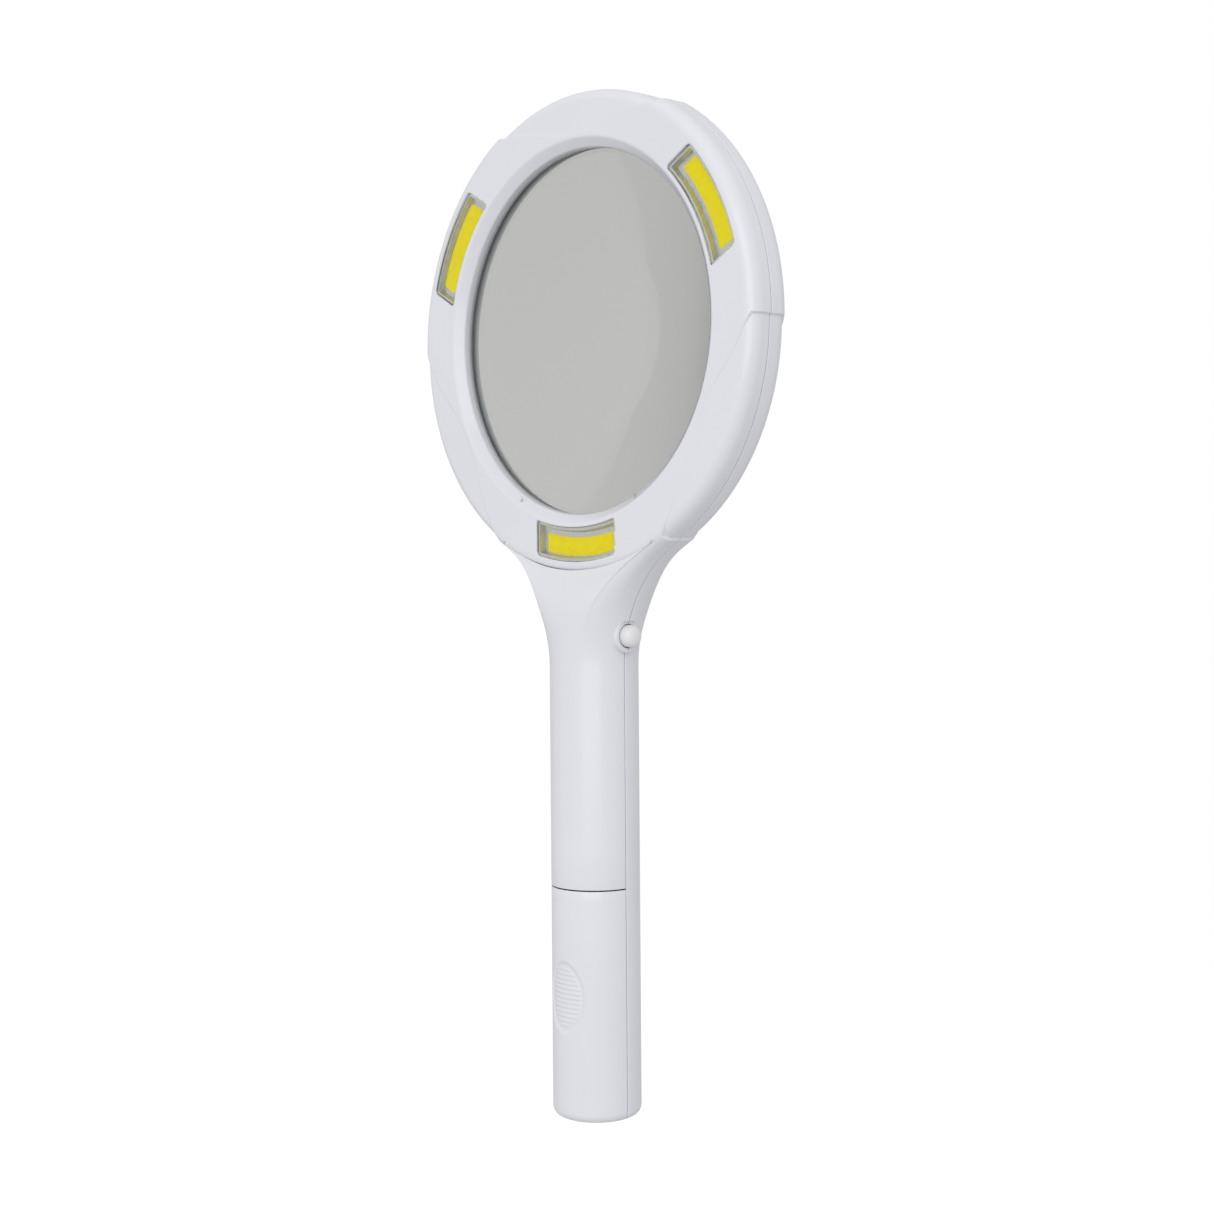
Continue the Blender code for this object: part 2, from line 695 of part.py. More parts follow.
def make_reflector(name, angle):
    bm = bmesh.new()
    inset = COVER_WALL + 0.2
    outline = window_outline(angle, WINDOW_IN + inset, WINDOW_OUT - inset, WINDOW_HALF - inset, 0.5)
    slab(bm, outline, *REFLECTOR_Y)
    frame = add_object(name, bm, MIRRORED)
    bm = bmesh.new()
    slab(bm, window_outline(angle, STRIP_IN - 0.2, STRIP_OUT + 0.2, STRIP_HALF + 0.2, 0.6), -9.0, -1.0)
    boolean(frame, add_object(name + "_opening", bm, None, CUTTERS), "DIFFERENCE")
    return frame


def make_board(name, angle):
    bm = bmesh.new()
    inset = COVER_WALL + 0.2
    outline = window_outline(angle, WINDOW_IN + inset, WINDOW_OUT - inset, WINDOW_HALF - inset, 0.5)
    slab(bm, outline, *BOARD_Y)
    return add_object(name, bm, CIRCUIT)


def make_strip(name, angle):
    bm = bmesh.new()
    slab(bm, window_outline(angle, STRIP_IN, STRIP_OUT, STRIP_HALF, 0.8), *STRIP_Y)
    return add_object(name, bm, PHOSPHOR)


# ---- power button and switch ----

def make_switch():
    top = BUTTON_TIP
    r = BUTTON_R
    cap = [(0.0, top), (0.45 * r, top - 0.22), (0.8 * r, top - 0.95), (0.97 * r, top - 1.8), (r, top - 2.6)]
    cap += [(r, FLANGE_X[1]), (4.2, FLANGE_X[1]), (4.2, FLANGE_X[0]), (0.0, FLANGE_X[0])]
    turned("power_button", cap, along((1, 0, 0), (0, 0, BUTTON_Z)), WHITE, 28)
    stem = [(0.0, 9.3), (1.2, 9.3), (1.4, 9.1), (1.4, 6.6), (0.0, 6.6)]
    turned("switch_plunger", stem, along((1, 0, 0), (0, 0, BUTTON_Z)), BLACK, 16)
    half = SWITCH_SIDE / 2
    bm = bmesh.new()
    box(bm, (SWITCH_X[0], -half, BUTTON_Z - half), (SWITCH_X[1], half, BUTTON_Z + half))
    body = add_object("switch_body", bm, BLACK)
    bm = bmesh.new()
    cylinder(bm, 1.7, (4.8, 0, BUTTON_Z), (9.0, 0, BUTTON_Z), 20)
    boolean(body, add_object("plunger_bore", bm, None, CUTTERS), "DIFFERENCE")
    bm = bmesh.new()
    box(bm, (SWITCH_BOARD_X[0], -7.0, BUTTON_Z - 6.0), (SWITCH_BOARD_X[1], 7.0, BUTTON_Z + 8.2))
    add_object("switch_board", bm, CIRCUIT)
    bm = bmesh.new()
    box(bm, (4.4, -0.8, BUTTON_Z + 3.9), (5.0, 0.8, BUTTON_Z + 7.1))
    add_object("resistor", bm, BLACK)


# ---- battery pack ----

CELL_TOP_UP = BAY_TOP[0] - GAP - PLATE - GAP        # nub of a cell whose + end is up
CELL_TOP_DOWN = -17.4                               # flat end of the cell whose + end is down


def make_cells():
    for i, (angle, up) in enumerate(CELLS):
        x, y = cell_centre(i)
        profile = [(0.0, 0.0), (1.9, 0.0), (1.9, -1.0), (4.7, -1.0), (CELL_R, -1.5)]
        profile += [(CELL_R, -CELL_LENGTH + 0.4), (CELL_R - 0.4, -CELL_LENGTH), (0.0, -CELL_LENGTH)]
        nub = CELL_TOP_UP if up > 0 else CELL_TOP_DOWN - CELL_LENGTH
        turned("battery_%d" % (i + 1), profile, along((0, 0, up), (x, y, nub)), CELL_JACKET, 20)


def make_plate(name, outline, z, material=NICKEL):
    """A flat contact cut to an outline of (x, y) points, its underside at z."""
    bm = bmesh.new()
    face = bm.faces.new([bm.verts.new((x, y, z)) for x, y in outline])
    made = bmesh.ops.extrude_face_region(bm, geom=[face])
    verts = [v for v in made["geom"] if isinstance(v, bmesh.types.BMVert)]
    bmesh.ops.translate(bm, vec=(0, 0, PLATE), verts=verts)
    bmesh.ops.recalc_face_normals(bm, faces=bm.faces)
    return add_object(name, bm, material)


def bridge_outline(a, b, half=2.6):
    """A strip from cell a's axis to cell b's, with cut corners."""
    start = Vector(cell_centre(a))
    end = Vector(cell_centre(b))
    ahead = (end - start).normalized()
    side = Vector((-ahead.y, ahead.x))
    cut = 1.0
    points = []
    for tip, way in ((end, 1.0), (start, -1.0)):
        points.append(tip + ahead * way * (half - cut) - side * way * half)
        points.append(tip + ahead * way * half - side * way * (half - cut))
        points.append(tip + ahead * way * half + side * way * (half - cut))
        points.append(tip + ahead * way * (half - cut) + side * way * half)
    return [(p.x, p.y) for p in points]


def make_contacts():
    top = BAY_TOP[0] - GAP - PLATE
    end = BAY_END[1] + GAP
    x, y = cell_centre(0)
    square = [(x - 2.6, y - 2.6), (x + 2.6, y - 2.6), (x + 2.6, y + 2.6), (x - 2.6, y + 2.6)]
    make_plate("contact_positive", square, top)
    make_plate("contact_bridge_top", bridge_outline(1, 2), top)
    make_plate("contact_bridge_end", bridge_outline(0, 1), end)
    x, y = cell_centre(2)
    outline = [(x - 2.6, y - 2.6), (x + 2.6, y - 2.6), (x + 2.6, y + 2.6)]
    outline += [(1.4, 10.9), (-1.2, 10.9), (-1.2, 9.0)]
    make_plate("contact_negative", outline, end)
    cell_end = CELL_TOP_UP - CELL_LENGTH
    low = end + PLATE + GAP
    high = top - GAP
    make_spring("battery_spring_1", cell_centre(0), low, cell_end - GAP)
    make_spring("battery_spring_2", cell_centre(1), high, CELL_TOP_DOWN + GAP)
    make_spring("battery_spring_3", cell_centre(2), low, cell_end - GAP)


def make_spring(name, place, base, tip):
    """A conical coil, wide at its plate."""
    wire = 0.35
    turns = 4.0
    steps = 9
    count = int(turns * steps)
    way = 1.0 if tip > base else -1.0
    length = abs(tip - base) - 2 * wire
    points = []
    for i in range(count + 1):
        t = i / count
        radius = 3.0 - 1.2 * t
        a = 2 * pi * turns * t
        rise = way * (wire + length * t)
        points.append((place[0] + radius * cos(a), place[1] + radius * sin(a), base + rise))
    make_wire(name, points, wire, NICKEL, 0)


def make_wire(name, points, radius, material, resolution=1):
    curve = bpy.data.curves.new(name, "CURVE")
    curve.dimensions = "3D"
    curve.bevel_depth = radius * MM
    curve.bevel_resolution = resolution
    curve.use_fill_caps = True
    spline = curve.splines.new("POLY")
    spline.points.add(len(points) - 1)
    for point, p in zip(spline.points, points):
        point.co = (p[0] * MM, p[1] * MM, p[2] * MM, 1.0)
    curve.materials.append(material)
    obj = bpy.data.objects.new(name, curve)
    PARTS.objects.link(obj)
    return obj


def rounded_route(points, per_span=4):
    """Points read from a smooth Catmull-Rom curve through a route's own points."""
    p = [Vector(q) for q in points]
    p = [2 * p[0] - p[1]] + p + [2 * p[-1] - p[-2]]
    route = []
    for i in range(1, len(p) - 2):
        for k in range(per_span):
            t = k / per_span
            a = 2 * p[i]
            b = p[i + 1] - p[i - 1]
            c = 2 * p[i - 1] - 5 * p[i] + 4 * p[i + 1] - p[i + 2]
            d = 3 * p[i] - p[i - 1] - 3 * p[i + 1] + p[i + 2]
            route.append(0.5 * (a + b * t + c * t * t + d * t ** 3))
    route.append(p[-2])
    return route


def on_ring(angle, radius, y):
    return tuple(ring_point(angle, radius, y))


def make_wires():
    x, y = cell_centre(0)
    positive = [(x, y, BAY_TOP[0]), (x, y, -2), (-7.2, 1.5, 12), (-7.4, 0.5, 40), (-5.0, 0.5, 62)]
    positive += [(0.2, 1.0, 68), (2.7, 1.0, 68)]
    make_wire("wire_positive", rounded_route(positive), WIRE_R, RED_WIRE)
    nx, ny = NEGATIVE_WIRE
    cell_side = [(nx, ny, BAY_END[1] + 2 * GAP + PLATE), (nx, ny, -50), (nx, ny, -30)]
    cell_side += [(nx, ny, BAY_TOP[0] - 2), (nx, ny, -3)]
    rise = [(-5.4, 6.2, 12), (-5.4, 5.0, 40), (-5.4, 3.8, 66), (-5.6, 2.0, 84)]
    rise += [(-6.0, 0.0, 91), (-6.0, -1.6, 95), (-6.0, -2.9, 96.5)]
    make_wire("wire_negative", rounded_route(cell_side + rise), WIRE_R, BLACK_WIRE)
    feed = [(2.7, -2.0, 75.0), (0.5, -1.5, 76.5), (3.5, 0.0, 81.0), (6.2, 1.2, 88.0)]
    feed += [(6.0, 0.0, 92), (6.0, -1.6, 95), (6.0, -2.9, 96.5)]
    make_wire("wire_led_feed", rounded_route(feed), WIRE_R, RED_WIRE)
    for side, sign in (("right", 1), ("left", -1)):
        for colour, material, tone in (("red", RED_WIRE, 1), ("black", BLACK_WIRE, -1)):
            y = 0.2 + 0.9 * tone
            inner = 63.4 - 1.1 * tone
            start = 10.0
            route = [(start, inner, -2.9), (start + 2, inner, -1.6)]
            route += [(start + 6, 65.4, y), (start + 12, 67.2, y)]
            route += [(a, 67.4, y) for a in range(32, 95, 8)]
            route += [(104.0, 65.4, y), (108.0, inner, -1.6), (110.0, inner, -2.9)]
            points = [on_ring(270.0 + sign * a, r, d) for a, r, d in route]
            make_wire("wire_%s_%s" % (side, colour), rounded_route(points, 2), WIRE_R, material)


# ---- screws ----

def make_screw(name, x, z):
    """A pan-head screw whose head faces the back."""
    seat = SCREW_FLOOR + 0.2
    profile = [(0.0, seat + 1.8), (HEAD_R * 0.6, seat + 1.7), (HEAD_R * 0.92, seat + 1.2)]
    profile += [(HEAD_R, seat + 0.5), (HEAD_R, seat)]
    profile += [(SHANK_R, seat), (SHANK_R, -3.4), (0.3, -4.2), (0.0, -4.2)]
    return turned(name, profile, along((0, 1, 0), (x, 0, z)), ZINC, 16)


BORE = button_bore()
make_front_shell()
make_back_shell()
make_door()
make_lens()
for place, pad in zip(("right", "left", "bottom"), PAD_ANGLES):
    make_cover("window_cover_" + place, pad)
    make_reflector("reflector_" + place, pad)
    make_board("led_board_" + place, pad)
    make_strip("led_strip_" + place, pad)
make_switch()
make_cells()
make_contacts()
make_wires()
for screw_name, (screw_x, screw_z) in SCREW_PLACES.items():
    make_screw(screw_name, screw_x, screw_z)
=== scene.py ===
import math

import bmesh
import bpy
from mathutils import Matrix, Vector


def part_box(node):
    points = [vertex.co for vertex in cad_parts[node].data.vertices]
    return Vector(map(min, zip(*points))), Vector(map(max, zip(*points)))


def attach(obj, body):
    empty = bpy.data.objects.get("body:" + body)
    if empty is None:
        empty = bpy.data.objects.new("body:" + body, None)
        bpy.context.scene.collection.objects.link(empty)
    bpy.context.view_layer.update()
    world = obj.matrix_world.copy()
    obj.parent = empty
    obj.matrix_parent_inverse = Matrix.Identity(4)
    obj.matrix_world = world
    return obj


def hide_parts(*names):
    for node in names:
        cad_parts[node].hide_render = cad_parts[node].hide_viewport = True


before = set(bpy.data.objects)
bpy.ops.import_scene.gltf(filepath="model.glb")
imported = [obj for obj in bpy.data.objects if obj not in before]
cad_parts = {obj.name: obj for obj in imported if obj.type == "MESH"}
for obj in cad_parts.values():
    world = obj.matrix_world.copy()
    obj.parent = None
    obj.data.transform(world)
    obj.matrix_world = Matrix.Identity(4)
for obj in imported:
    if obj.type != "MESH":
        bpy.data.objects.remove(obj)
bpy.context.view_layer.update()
mm = 0.001    # every shape below is worked out in millimetres


# a node's corners, in millimetres
def boxMm(node):
    low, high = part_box(node)
    return Vector(low) / mm, Vector(high) / mm


lensLow, lensHigh = boxMm("lens")
shellLow, shellHigh = boxMm("front_shell")
doorLow, doorHigh = boxMm("battery_door")
buttonLow, buttonHigh = boxMm("power_button")
ringZ = (lensLow.z + lensHigh.z) / 2
padR = round(shellHigh.x, 1)
handleR = round(doorHigh.x, 1)
handleEnd = doorLow.z
doorTop = doorHigh.z
shellEnd = shellLow.z
buttonZ = (buttonLow.z + buttonHigh.z) / 2
seamY = -doorHigh.y
print("frame: rim radius %.2f, handle radius %.2f, lens centre %.2f" % (padR, handleR, ringZ))


def smoothStep(t):
    t = min(max(t, 0.0), 1.0)
    return t * t * (3 - 2 * t)


def mix(a, b, t):
    return a + (b - a) * t


def ringPoint(angle, radius, y):
    a = math.radians(angle)
    return Vector((radius * math.cos(a), y, ringZ + radius * math.sin(a)))


def angleBetween(a, b):
    return abs((a - b + 180) % 360 - 180)


def newMaterial(name, colour, roughness, metallic=0.0, transmission=0.0, ior=1.49):
    material = bpy.data.materials.new(name)
    material.use_nodes = True
    shader = material.node_tree.nodes["Principled BSDF"]
    shader.inputs["Base Color"].default_value = (*colour, 1)
    shader.inputs["Roughness"].default_value = roughness
    shader.inputs["Metallic"].default_value = metallic
    shader.inputs["Transmission Weight"].default_value = transmission
    shader.inputs["IOR"].default_value = ior
    return material, shader, material.node_tree


def objectNoise(tree, scale, detail=3.0):
    coords = tree.nodes.new("ShaderNodeTexCoord")
    noise = tree.nodes.new("ShaderNodeTexNoise")
    noise.inputs["Scale"].default_value = scale
    noise.inputs["Detail"].default_value = detail
    tree.links.new(coords.outputs["Object"], noise.inputs["Vector"])
    return noise


def ramp(tree, source, low, high):
    node = tree.nodes.new("ShaderNodeValToRGB")
    node.color_ramp.elements[0].position = 0.3
    node.color_ramp.elements[0].color = (*low, 1)
    node.color_ramp.elements[1].position = 0.7
    node.color_ramp.elements[1].color = (*high, 1)
    tree.links.new(source, node.inputs["Fac"])
    return node.outputs["Color"]


def remap(tree, source, low, high):
    node = tree.nodes.new("ShaderNodeMapRange")
    node.inputs["To Min"].default_value = low
    node.inputs["To Max"].default_value = high
    tree.links.new(source, node.inputs["Value"])
    return node.outputs["Result"]


def addBump(tree, shader, height, strength, distance):
    bump = tree.nodes.new("ShaderNodeBump")
    bump.inputs["Strength"].default_value = strength
    bump.inputs["Distance"].default_value = distance
    tree.links.new(height, bump.inputs["Height"])
    tree.links.new(bump.outputs["Normal"], shader.inputs["Normal"])


whiteLook = {
    "colour": (0.775, 0.785, 0.830),
    "shade": (0.755, 0.765, 0.812),    # slow drift of tone across a moulding
    "roughness": (0.20, 0.27),
    "flowScale": 22.0,
    "pebbleScale": 2600.0,    # fine grain left by the mould
    "pebble": 0.00002,
}


def mouldedWhite(name, look):
    material, shader, tree = newMaterial(name, look["colour"], 0.24)
    flow = objectNoise(tree, look["flowScale"], 2.0)
    tone = ramp(tree, flow.outputs["Fac"], look["shade"], look["colour"])
    tree.links.new(tone, shader.inputs["Base Color"])
    wear = objectNoise(tree, 260.0, 4.0)
    tree.links.new(remap(tree, wear.outputs["Fac"], *look["roughness"]), shader.inputs["Roughness"])
    shader.inputs["Specular IOR Level"].default_value = 0.5
    shader.inputs["Coat Weight"].default_value = 0.15
    shader.inputs["Coat Roughness"].default_value = 0.08
    grain = objectNoise(tree, look["pebbleScale"], 2.0)
    addBump(tree, shader, grain.outputs["Fac"], 0.12, look["pebble"])
    return material


whitePlastic = mouldedWhite("whitePlastic", whiteLook)
buttonLook = dict(whiteLook, colour=(0.80, 0.80, 0.82), shade=(0.78, 0.78, 0.80))
buttonPlastic = mouldedWhite("buttonPlastic", buttonLook)


def makeLensGlass():
    # painted shade: the lens is clear glass, tinted grey here to stand for the darker room seen through it
    material, shader, tree = newMaterial("lensGlass", (0.72, 0.73, 0.705), 0.0, 0.0, 1.0, 1.52)
    haze = objectNoise(tree, 30.0, 3.0)
    tree.links.new(remap(tree, haze.outputs["Fac"], 0.0, 0.012), shader.inputs["Roughness"])
    return material


def makeClearPlastic():
    material, shader, tree = newMaterial("clearPlastic", (0.985, 0.99, 0.985), 0.02, 0.0, 1.0, 1.2)
    haze = objectNoise(tree, 300.0, 3.0)
    tree.links.new(remap(tree, haze.outputs["Fac"], 0.0, 0.03), shader.inputs["Roughness"])
    return material


def makePhosphor():
    material, shader, tree = newMaterial("yellowPhosphor", (0.90, 0.76, 0.002), 0.6)
    grains = objectNoise(tree, 900.0, 4.0)
    tree.links.new(ramp(tree, grains.outputs["Fac"], (0.86, 0.70, 0.001), (0.94, 0.82, 0.003)),
                   shader.inputs["Base Color"])
    shader.inputs["Specular IOR Level"].default_value = 0.1
    # painted glow: the unlit phosphor is given a faint yellow emission so that it reads brighter
    shader.inputs["Emission Color"].default_value = (1.0, 0.84, 0.0, 1)
    shader.inputs["Emission Strength"].default_value = 0.24
    addBump(tree, shader, grains.outputs["Fac"], 0.3, 0.00006)
    return material


def makeMetal(name, colour, roughness, scale):
    material, shader, tree = newMaterial(name, colour, sum(roughness) / 2, 1.0)
    haze = objectNoise(tree, scale, 4.0)
    tree.links.new(remap(tree, haze.outputs["Fac"], *roughness), shader.inputs["Roughness"])
    darker = tuple(0.86 * c for c in colour)
    tree.links.new(ramp(tree, haze.outputs["Fac"], darker, colour), shader.inputs["Base Color"])
    return material


def makePlain(name, colour, roughness, scale=700.0):
    material, shader, tree = newMaterial(name, colour, roughness)
    noise = objectNoise(tree, scale, 3.0)
    darker = tuple(0.85 * c for c in colour)
    tree.links.new(ramp(tree, noise.outputs["Fac"], darker, colour), shader.inputs["Base Color"])
    tree.links.new(remap(tree, noise.outputs["Fac"], roughness * 0.85, roughness * 1.15),
                   shader.inputs["Roughness"])
    addBump(tree, shader, noise.outputs["Fac"], 0.1, 0.00003)
    return material


lensGlass = makeLensGlass()
clearPlastic = makeClearPlastic()
yellowPhosphor = makePhosphor()
reflectorMetal = makeMetal("reflectorMetal", (0.74, 0.75, 0.70), (0.28, 0.38), 500.0)
nickelPlate = makeMetal("nickelPlate", (0.70, 0.67, 0.62), (0.16, 0.3), 900.0)
zincSteel = makeMetal("zincSteel", (0.60, 0.61, 0.63), (0.22, 0.36), 1200.0)
groundEdgeWithPaintedCyan = makePlain("groundEdgeWithPaintedCyan", (0.56, 0.71, 0.74), 0.5)    # the lens's rough rim, in the glass's own greenish tint with painted reflection: coloured light cyan for the line the glass edge shows by refraction
circuitBoard = makePlain("circuitBoard", (0.78, 0.80, 0.76), 0.4)
blackPlastic = makePlain("blackPlastic", (0.022, 0.022, 0.024), 0.4)
cellJacket = makePlain("cellJacket", (0.07, 0.14, 0.30), 0.3, 60.0)
redInsulation = makePlain("redInsulation", (0.55, 0.03, 0.02), 0.42)
blackInsulation = makePlain("blackInsulation", (0.018, 0.018, 0.018), 0.42)

nodeLooks = {
    "led_board": circuitBoard, "switch_board": circuitBoard, "switch_body": blackPlastic,
    "switch_plunger": blackPlastic, "resistor": blackPlastic, "battery_spring": nickelPlate,
    "contact": nickelPlate, "screw": zincSteel, "wire_positive": redInsulation,
    "wire_led_feed": redInsulation, "wire_right_red": redInsulation, "wire_left_red": redInsulation,
    "wire": blackInsulation, "battery_1": cellJacket, "battery_2": cellJacket, "battery_3": cellJacket,
}
for nodeName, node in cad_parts.items():
    for start, look in nodeLooks.items():
        if nodeName.startswith(start):
            node.data.materials.clear()
            node.data.materials.append(look)
            break
print("materials ready")


def addPiece(name, bm, material, body="root", replaces=(), sharp=35):
    bmesh.ops.scale(bm, vec=(mm, mm, mm), verts=bm.verts)
    mesh = bpy.data.meshes.new(name)
    bm.to_mesh(mesh)
    bm.free()
    piece = bpy.data.objects.new(name, mesh)
    bpy.context.scene.collection.objects.link(piece)
    if material:
        mesh.materials.append(material)
    mesh.shade_smooth()
    mesh.set_sharp_from_angle(angle=math.radians(sharp))
    if body:
        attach(piece, body)
    if replaces:
        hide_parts(*replaces)
    return piece


# a sheet of across by down squares, with its corner i, j moved to place(i, j)
def gridPatch(bm, across, down, place):
    made = bmesh.ops.create_grid(bm, x_segments=across, y_segments=down, size=1.0)
    for vert in made["verts"]:
        i = round((vert.co.x + 1) / 2 * across)
        j = round((vert.co.y + 1) / 2 * down)
        vert.co = place(i, j)


def applyCut(piece, cutter):
    cut = piece.modifiers.new("cut", "BOOLEAN")
    cut.operation = "DIFFERENCE"
    cut.object = cutter
    cut.solver = "EXACT"
    graph = bpy.context.evaluated_depsgraph_get()
    mesh = bpy.data.meshes.new_from_object(piece.evaluated_get(graph))
    piece.modifiers.clear()
    piece.data = mesh
    bpy.data.objects.remove(cutter, do_unlink=True)


# a closed (radius, height) profile spun all the way round an axis
def lathe(profile, axis, centre, steps):
    bm = bmesh.new()
    verts = [bm.verts.new((r, 0, h)) for r, h in profile]
    edges = [bm.edges.new((a, b)) for a, b in zip(verts, verts[1:])]
    if profile[0][0] > 1e-6:
        edges.append(bm.edges.new((verts[-1], verts[0])))
    bmesh.ops.spin(bm, geom=verts + edges, cent=(0, 0, 0), axis=(0, 0, 1), angle=2 * math.pi,
                   steps=steps, use_merge=True)
    bmesh.ops.remove_doubles(bm, verts=bm.verts, dist=0.0005)
    bmesh.ops.recalc_face_normals(bm, faces=bm.faces)
    turn = Vector(axis).to_track_quat("Z", "Y").to_matrix().to_4x4()
    bmesh.ops.transform(bm, matrix=Matrix.Translation(Vector(centre)) @ turn, verts=bm.verts)
    return bm


rim = {
    "wall": 1.5,
    "lipR": lensHigh.x - 1.5,    # clear radius in front of the lens
    "lipBack": 2.25,
    "lipY": 4.95,
    "faceR": 56.3,
    "faceY": 7.5,
    "faceStart": 57.0,    # where the chamfer's softened corner has become the flat face
    "roundR": 3.3,
    "roundY": 4.1,
    "seamEdge": 0.22,    # softening of the edge at the seam
    "seamRound": 0.3,    # depth over which it is softened
    "columnStep": 0.8,
}
crescent = {
    "angles": (90.0, 210.0, 330.0),
    "half": 29.2,
    "height": 57.5,    # inner edge, measured along the crescent's middle line
    "rise": 3.8,
    "reach": 17.0,
    "power": 2.4,
    "restR": 63.0,    # where the step's rows run between the crescents
    "restTurn": 14.0,    # degrees they take to get there
    "deepR": 67.0,    # radius where the step is deepest
    "topIn": 1.5,    # how far the rim steps in along the top crescent
    "endIn": 0.7,    # and at the ends and the middle of the two lower ones
    "middleIn": 0.3,
    "faceStep": 0.13,
    "deepStep": 0.34,
    "soft": 0.2,    # half width of the softened step
    "endSoft": 0.28,    # the same at its ends, degrees
}
neck = {
    "fillet": 40.0,
    "start": 95.0,    # height at which it starts to deepen from the rim to the handle
    "rise": 22.0,    # height over which it does so
    "screwDepth": 10.9,    # its outer surface over the neck's screw, and the slope there
    "slope": -0.378,
    "strip": 60.0,    # degrees of the handle that carry on from the rim's side
    "rows": 44,
    "columns": 56,
}
neckX = handleR + neck["fillet"]
neckZ = ringZ - math.sqrt((padR + neck["fillet"]) ** 2 - neckX ** 2)
neckHalf = math.degrees(math.atan2(neckX, ringZ - neckZ))
rimStart = 270 + neckHalf    # the rim's free side runs from one side of the neck
rimEnd = 630 - neckHalf    # round to the other


# how far the skin turns in where it meets the seam
def softEdge(y):
    t = (seamY + rim["seamRound"] - y) / rim["seamRound"]
    return rim["seamEdge"] * (1 - math.sqrt(max(0.0, 1 - t * t))) if t > 0 else 0.0


# radius of a crescent's inner edge, phi degrees from its middle
def crescentR(phi):
    a = math.radians(phi)
    radius = crescent["height"]
    for _ in range(12):
        along = radius * math.sin(a) / crescent["reach"]
        height = crescent["height"] + crescent["rise"] * (1 - math.exp(-abs(along) ** crescent["power"]))
        radius = height / math.cos(a)
    return radius


endR = crescentR(crescent["half"])


# radius of the step at the crescents' inner edge, and of its rows between them
def breakR(angle):
    off = min(angleBetween(angle, a) for a in crescent["angles"])
    if off <= crescent["half"]:
        return crescentR(off)
    away = smoothStep((off - crescent["half"]) / crescent["restTurn"])
    return mix(endR, crescent["restR"], away)


# 1 inside a crescent, 0 outside all of them
def lowWeight(angle):
    off = min(angleBetween(angle, a) for a in crescent["angles"])
    return smoothStep((crescent["half"] + crescent["endSoft"] - off) / (2 * crescent["endSoft"]))


# the face, at its full height or sunk as it is on a crescent
def faceDepth(radius, low):
    if not low:
        return rim["faceY"]
    t = (radius - crescent["height"]) / (crescent["deepR"] - crescent["height"])
    t = min(max(t, 0.0), 1.0)
    return rim["faceY"] - mix(crescent["faceStep"], crescent["deepStep"], t)


def rimEdge(angle, low):
    if not low:
        return padR
    offs = [angleBetween(angle, a) for a in crescent["angles"]]
    if offs[0] == min(offs):
        return padR - crescent["topIn"]
    off = min(min(offs) / crescent["half"], 1.0)
    return padR - mix(crescent["middleIn"], crescent["endIn"], off ** 2)


# (length, radius, depth) from the seam over the rim's rounding and in along the face
def outerProfile(edge, low):
    flat = edge - rim["roundR"]
    depth = faceDepth(flat, low)
    points = [(edge, seamY)]
    for i in range(25):
        t = 0.5 * math.pi * (1 - i / 24)
        points.append((flat + rim["roundR"] * math.sin(t), depth - rim["roundY"] * (1 - math.cos(t))))
    for i in range(1, 41):
        radius = mix(flat, rim["faceStart"] - 0.2, i / 40)
        points.append((radius, faceDepth(radius, low)))
    length = 0.0
    profile = [(0.0, *points[0])]
    for a, b in zip(points, points[1:]):
        length += math.dist(a, b)
        profile.append((length, *b))
    return profile


# radius and depth at a length along a profile, and the length at a radius
def alongProfile(profile, length):
    for a, b in zip(profile, profile[1:]):
        if length <= b[0]:
            t = (length - a[0]) / (b[0] - a[0]) if b[0] > a[0] else 0.0
            return mix(a[1], b[1], t), mix(a[2], b[2], t)
    return profile[-1][1:]


def lengthAt(profile, radius):
    for a, b in zip(profile, profile[1:]):
        if a[1] >= radius >= b[1] and a[1] > b[1]:
            return mix(a[0], b[0], (a[1] - radius) / (a[1] - b[1]))
    return 0.0


edgeLengths = (0.0, 0.05, 0.13, 0.22, 0.32)    # fine rows beside the seam
sideRows = 23    # from there to the crescents' step
stepRows = 6
innerRows = 12    # from the step to the chamfer
stripRows = len(edgeLengths) + sideRows


# where the rows from the seam to the step lie along a profile
def stripLengths(end):
    rest = [mix(edgeLengths[-1], end, k / sideRows) for k in range(1, sideRows + 1)]
    return list(edgeLengths) + rest


# lip, chamfer and first bit of the face, with softened corners
def lipColumn():
    corners = [Vector((rim["lipR"], rim["lipBack"])), Vector((rim["lipR"], rim["lipY"])),
               Vector((rim["faceR"], rim["faceY"])), Vector((rim["faceStart"], rim["faceY"]))]
    points = [corners[0].to_tuple(), (rim["lipR"], rim["lipY"] - 1.2)]
    for corner, size in ((1, 0.5), (2, 0.55)):
        here = corners[corner]
        back = (corners[corner - 1] - here).normalized() * size
        ahead = (corners[corner + 1] - here).normalized() * size
        for k in range(7):
            t = k / 6
            points.append((here + back * (1 - t) ** 2 + ahead * t ** 2).to_tuple())
    points.append(corners[3].to_tuple())
    return points


lipPoints = lipColumn()


